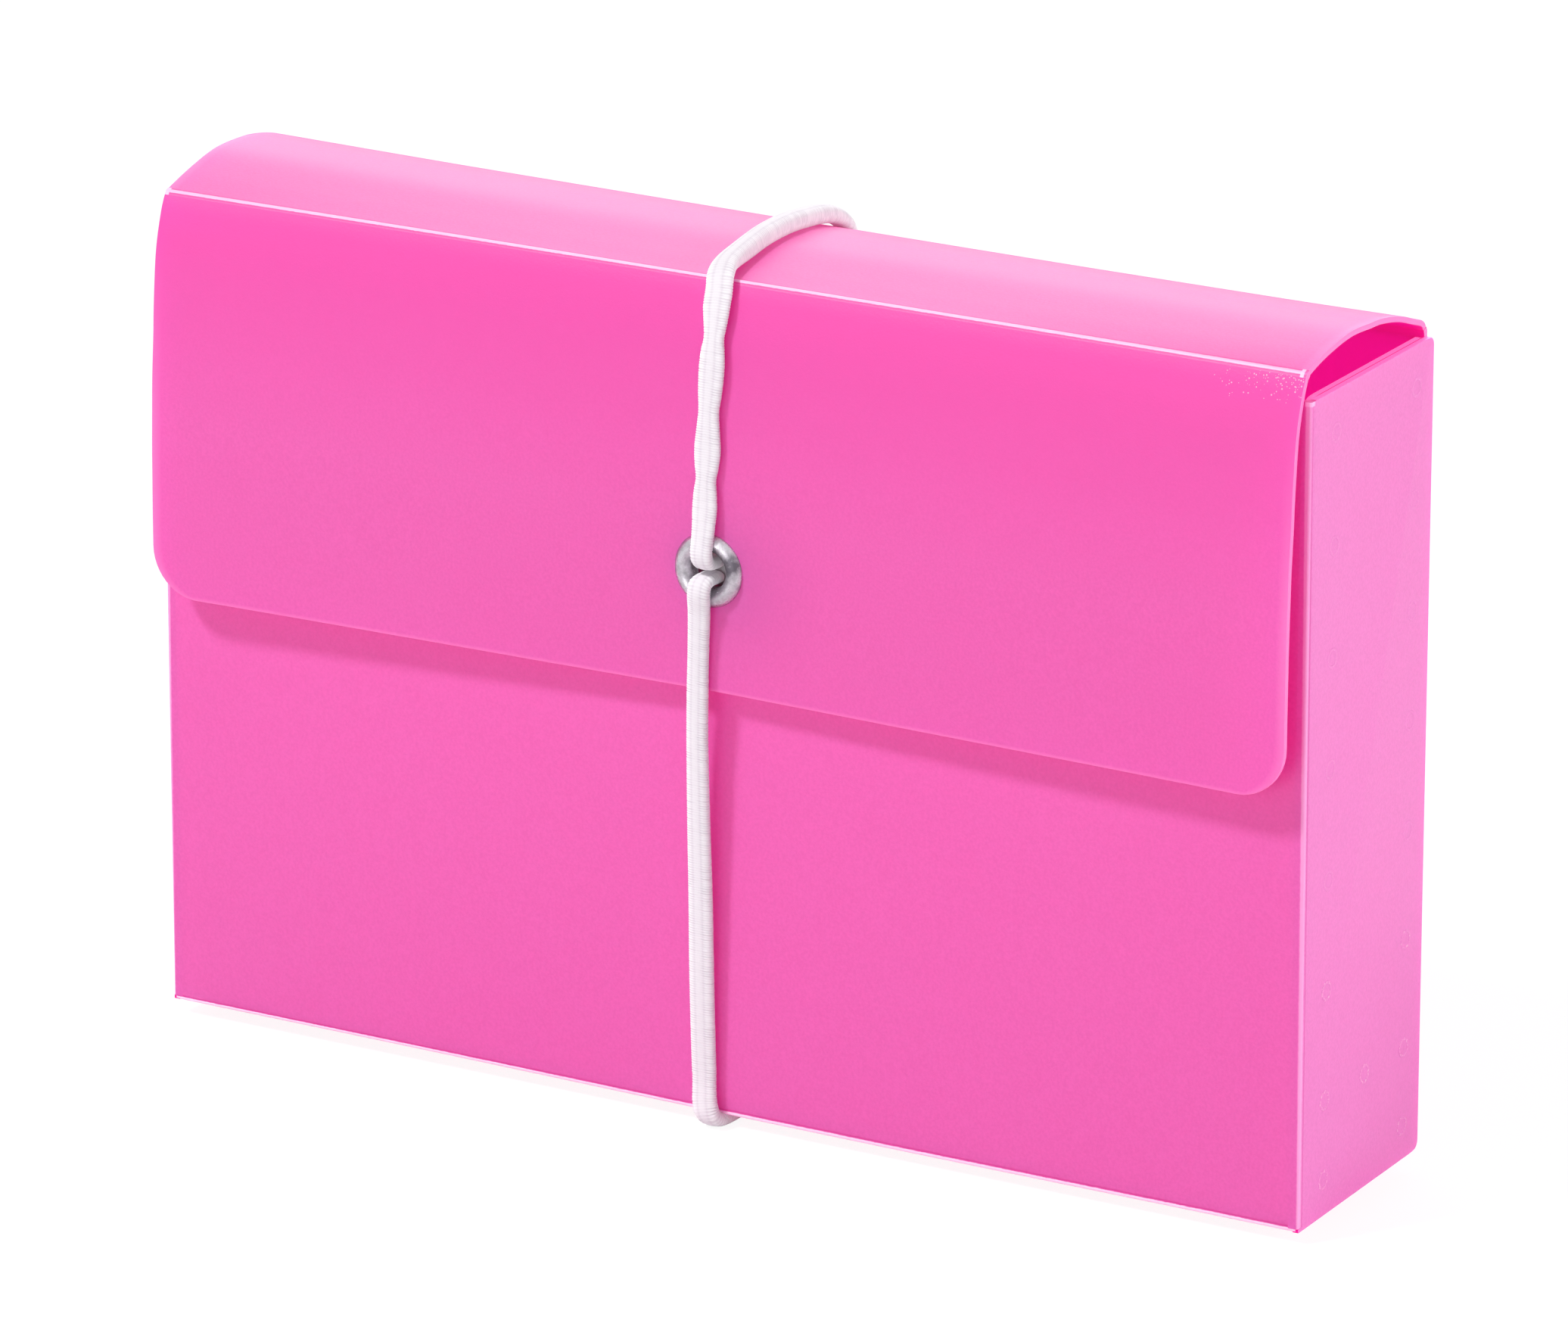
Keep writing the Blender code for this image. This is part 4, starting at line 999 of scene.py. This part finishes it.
def cord_surface(points, reached):
    """Places on a braided flat cord's surface and their depth between its yarns, one ring for each point of
    (x, y, z, width, thickness). Three columns of yarn lie side by side on each face. The outer two have loose
    ribs across them."""
    centre = points[:, :3]
    ahead = np.gradient(centre, axis=0)
    ahead /= np.linalg.norm(ahead, axis=1)[:, None]
    wide = np.tile([1.0, 0, 0], (len(ahead), 1)) - ahead * ahead[:, :1]
    wide /= np.linalg.norm(wide, axis=1)[:, None]
    thick = np.cross(wide, ahead)
    angle = np.arange(CORD_SIDES) * math.tau / CORD_SIDES
    a = np.sign(np.cos(angle)) * abs(np.cos(angle)) ** 0.9
    b = np.sign(np.sin(angle)) * abs(np.sin(angle)) ** 0.8
    column = abs(a)
    groove = np.exp(-(((column - 0.4) / 0.12) ** 2))
    outer_yarn = np.clip((column - 0.28) / 0.2, 0, 1)
    random = np.random.default_rng(7)
    count = int(reached[-1] / RIB) + 3
    loose = [np.interp(reached / RIB, range(count), random.uniform(0.3, 1.0, count)) for _ in range(4)]
    quarter = (angle // (math.pi / 2)).astype(int) % 4
    loose = np.stack(loose)[quarter].T
    phase = math.tau * (reached[:, None] / RIB + 0.35 * column[None, :] + 0.12 * loose)
    strength = (0.3 + 0.7 * outer_yarn)[None, :] * loose
    sunk = 1 - (0.5 + 0.5 * np.cos(phase))
    out = -(0.03 * groove + 0.04 * (1 - outer_yarn))[None, :] - 0.08 * strength * sunk
    across = (points[:, 3:4] / 2 + out) * a[None, :]
    up = (points[:, 4:5] / 2 + out) * b[None, :]
    where = centre[:, None] + wide[:, None] * across[..., None] + thick[:, None] * up[..., None]
    # shade: painted shade, darker in the grooves, down the middle column and in the ribs' hollows
    shade = 0.25 * groove + 0.18 * (1 - outer_yarn)
    return where.reshape(-1, 3), np.clip(shade[None, :] + 0.5 * strength * sunk, 0, 1).reshape(-1)


def cord_mesh(name, route, finish):
    """A closed cord along a smooth route, with millimetres along it in its UV map."""
    path = smooth_path(route, 10)
    own = distances(path[:, :3])
    reached = np.linspace(0, own[-1], max(int(own[-1] / (RIB / 5)), 2) + 1)
    where, depth = cord_surface(at_distances(path, own, reached), reached)
    count = len(reached)
    ring = np.arange(CORD_SIDES)
    beside = (ring + 1) % CORD_SIDES
    base = (np.arange(count - 1) * CORD_SIDES)[:, None]
    quads = np.stack([base + ring, base + beside, base + CORD_SIDES + beside, base + CORD_SIDES + ring], -1)
    caps = [ring[::-1].tolist(), ((count - 1) * CORD_SIDES + ring).tolist()]
    data = bpy.data.meshes.new(name)
    data.from_pydata((where * MM + np.array(CASE_ORIGIN)).tolist(), [], quads.reshape(-1, 4).tolist() + caps)
    data.attributes.new("yarn_depth", "FLOAT", "POINT").data.foreach_set("value", depth.astype(np.float32))
    layer = data.uv_layers.new(name="cord_mm")
    uv = np.stack([np.tile(ring / CORD_SIDES, count), np.repeat(reached, CORD_SIDES)], 1)
    corner = np.empty(len(data.loops), np.int32)
    data.loops.foreach_get("vertex_index", corner)
    layer.data.foreach_set("uv", uv[corner].astype(np.float32).reshape(-1))
    shade_smooth(data)
    mesh = bmesh.new()
    mesh.from_mesh(data)
    bmesh.ops.recalc_face_normals(mesh, faces=mesh.faces)
    mesh.to_mesh(data)
    mesh.free()
    data.materials.append(finish)
    made = in_scene(name, data)
    return made


def make_elastic():
    """The cord in three stretches. A route's points are the cord's middle, then its width and thickness."""
    cord = braided_elastic("braided_white_elastic")
    up_and_over = [
        (0.4, -15.5, 62.95, 2.6, 1.5), (0.4, -16.6, 62.95, 2.6, 1.5), (0.35, -17.7, 63.2, 2.6, 1.5),
        (0.27, -18.15, 64.2, 2.6, 1.4), (0.3, -18.0, 65.6, 2.6, 1.3), (0.36, -17.8, 67.4, 2.75, 1.2),
        (0.42, -17.65, 69.3, 2.95, 1.15), (0.46, -17.6, 71.0, 2.75, 1.15), (0.52, -17.55, 72.4, 2.4, 1.2),
        (0.58, -17.5, 73.9, 2.85, 1.15), (0.62, -17.4, 75.6, 3.15, 1.15), (0.66, -17.35, 77.6, 2.85, 1.15),
        (0.7, -17.25, 79.8, 2.45, 1.2), (0.8, -17.15, 82.0, 2.85, 1.15), (0.9, -17.0, 84.4, 3.05, 1.15),
        (0.95, -16.85, 86.2, 2.85, 1.15), (0.97, -16.6, 87.8, 2.4, 1.2), (0.95, -16.25, 89.5, 2.85, 1.15),
        (0.88, -15.9, 91.0, 3.2, 1.15), (0.78, -15.2, 92.6, 3.2, 1.2), (0.52, -14.4, 94.1, 3.1, 1.4),
        (0.15, -12.6, 94.8, 2.7, 1.9), (-0.05, -8.86, 95.25, 2.45, 2.3), (-0.1, -4.3, 95.8, 2.4, 2.35),
        (-0.15, 0.4, 95.85, 2.4, 2.3), (-0.2, 4.4, 95.5, 2.4, 2.25), (-0.25, 7.5, 95.1, 2.4, 2.2),
        (-0.35, 10.1, 94.45, 2.45, 2.1), (-0.45, 12.2, 93.5, 2.5, 1.9), (-0.55, 13.75, 92.3, 2.6, 1.6),
        (-0.6, 14.4, 90.9, 2.6, 1.4), (-0.6, 14.5, 90.0, 2.6, 1.4),
    ]
    upper_cord = cord_mesh("elastic_upper", up_and_over, cord)
    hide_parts("elastic_upper_strand", "elastic_over_lid")
    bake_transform(upper_cord)

    round_back = [
        (-0.6, 14.5, 91.0, 2.6, 1.4), (-0.6, 14.5, 88.0, 2.7, 1.4), (-0.55, 14.5, 70, 2.7, 1.4),
        (-0.5, 14.5, 50, 2.7, 1.4), (-0.4, 14.5, 30, 2.7, 1.4), (-0.3, 14.5, 10, 2.7, 1.4),
        (-0.2, 14.5, 3.0, 2.7, 1.4), (-0.2, 14.3, 0.6, 2.7, 1.4), (-0.15, 13.4, -0.6, 2.7, 1.4),
        (-0.1, 11.5, -0.95, 2.7, 1.4), (0, 6.0, -1.0, 2.7, 1.4), (0, 0, -1.0, 2.7, 1.4),
        (-0.05, -6.0, -1.0, 2.7, 1.4), (-0.15, -11.0, -0.98, 2.7, 1.5), (-0.3, -13.4, -0.88, 2.8, 1.7),
        (-0.55, -14.6, -0.6, 2.9, 1.9), (-0.9, -15.15, 0.2, 2.95, 1.8), (-1.2, -15.1, 1.5, 2.9, 1.6),
        (-1.34, -14.9, 3.0, 2.85, 1.45), (-1.38, -14.85, 4.6, 2.85, 1.4),
    ]
    back_cord = cord_mesh("elastic_back_and_bottom", round_back, cord)
    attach(back_cord, "lid")
    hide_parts("elastic_back_strand", "elastic_bottom_strand")
    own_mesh(back_cord)

    up_front = [
        (-1.38, -14.85, 4.4, 2.93, 1.4), (-1.44, -15.05, 10, 2.93, 1.4), (-1.44, -15.3, 17, 2.95, 1.4),
        (-1.37, -15.6, 24.8, 2.87, 1.4), (-1.33, -16.05, 34, 2.7, 1.4), (-1.2, -16.5, 43, 2.55, 1.4),
        (-0.98, -16.8, 48.5, 2.55, 1.35), (-0.7, -17.15, 52.5, 2.5, 1.35), (-0.3, -17.65, 57.2, 2.6, 1.4),
        (0.0, -18.25, 59.7, 2.7, 1.4), (0.1, -18.1, 60.75, 2.7, 1.4), (0.25, -17.5, 61.15, 2.6, 1.4),
        (0.3, -16.6, 61.15, 2.6, 1.4), (0.3, -15.5, 61.15, 2.6, 1.4),
    ]
    lower_cord = cord_mesh("elastic_lower", up_front, cord)
    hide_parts("elastic_lower_strand")
    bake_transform(lower_cord)


make_camera()
make_studio()
bpy.context.scene.view_settings.view_transform = "Standard"
sheet_finishes = make_materials()
make_walls(sheet_finishes)
make_sides(sheet_finishes)
make_folds(sheet_finishes)
make_welds()
make_lid(sheet_finishes)
make_flap(sheet_finishes)
make_turning_folds(sheet_finishes)
make_metal()
make_elastic()
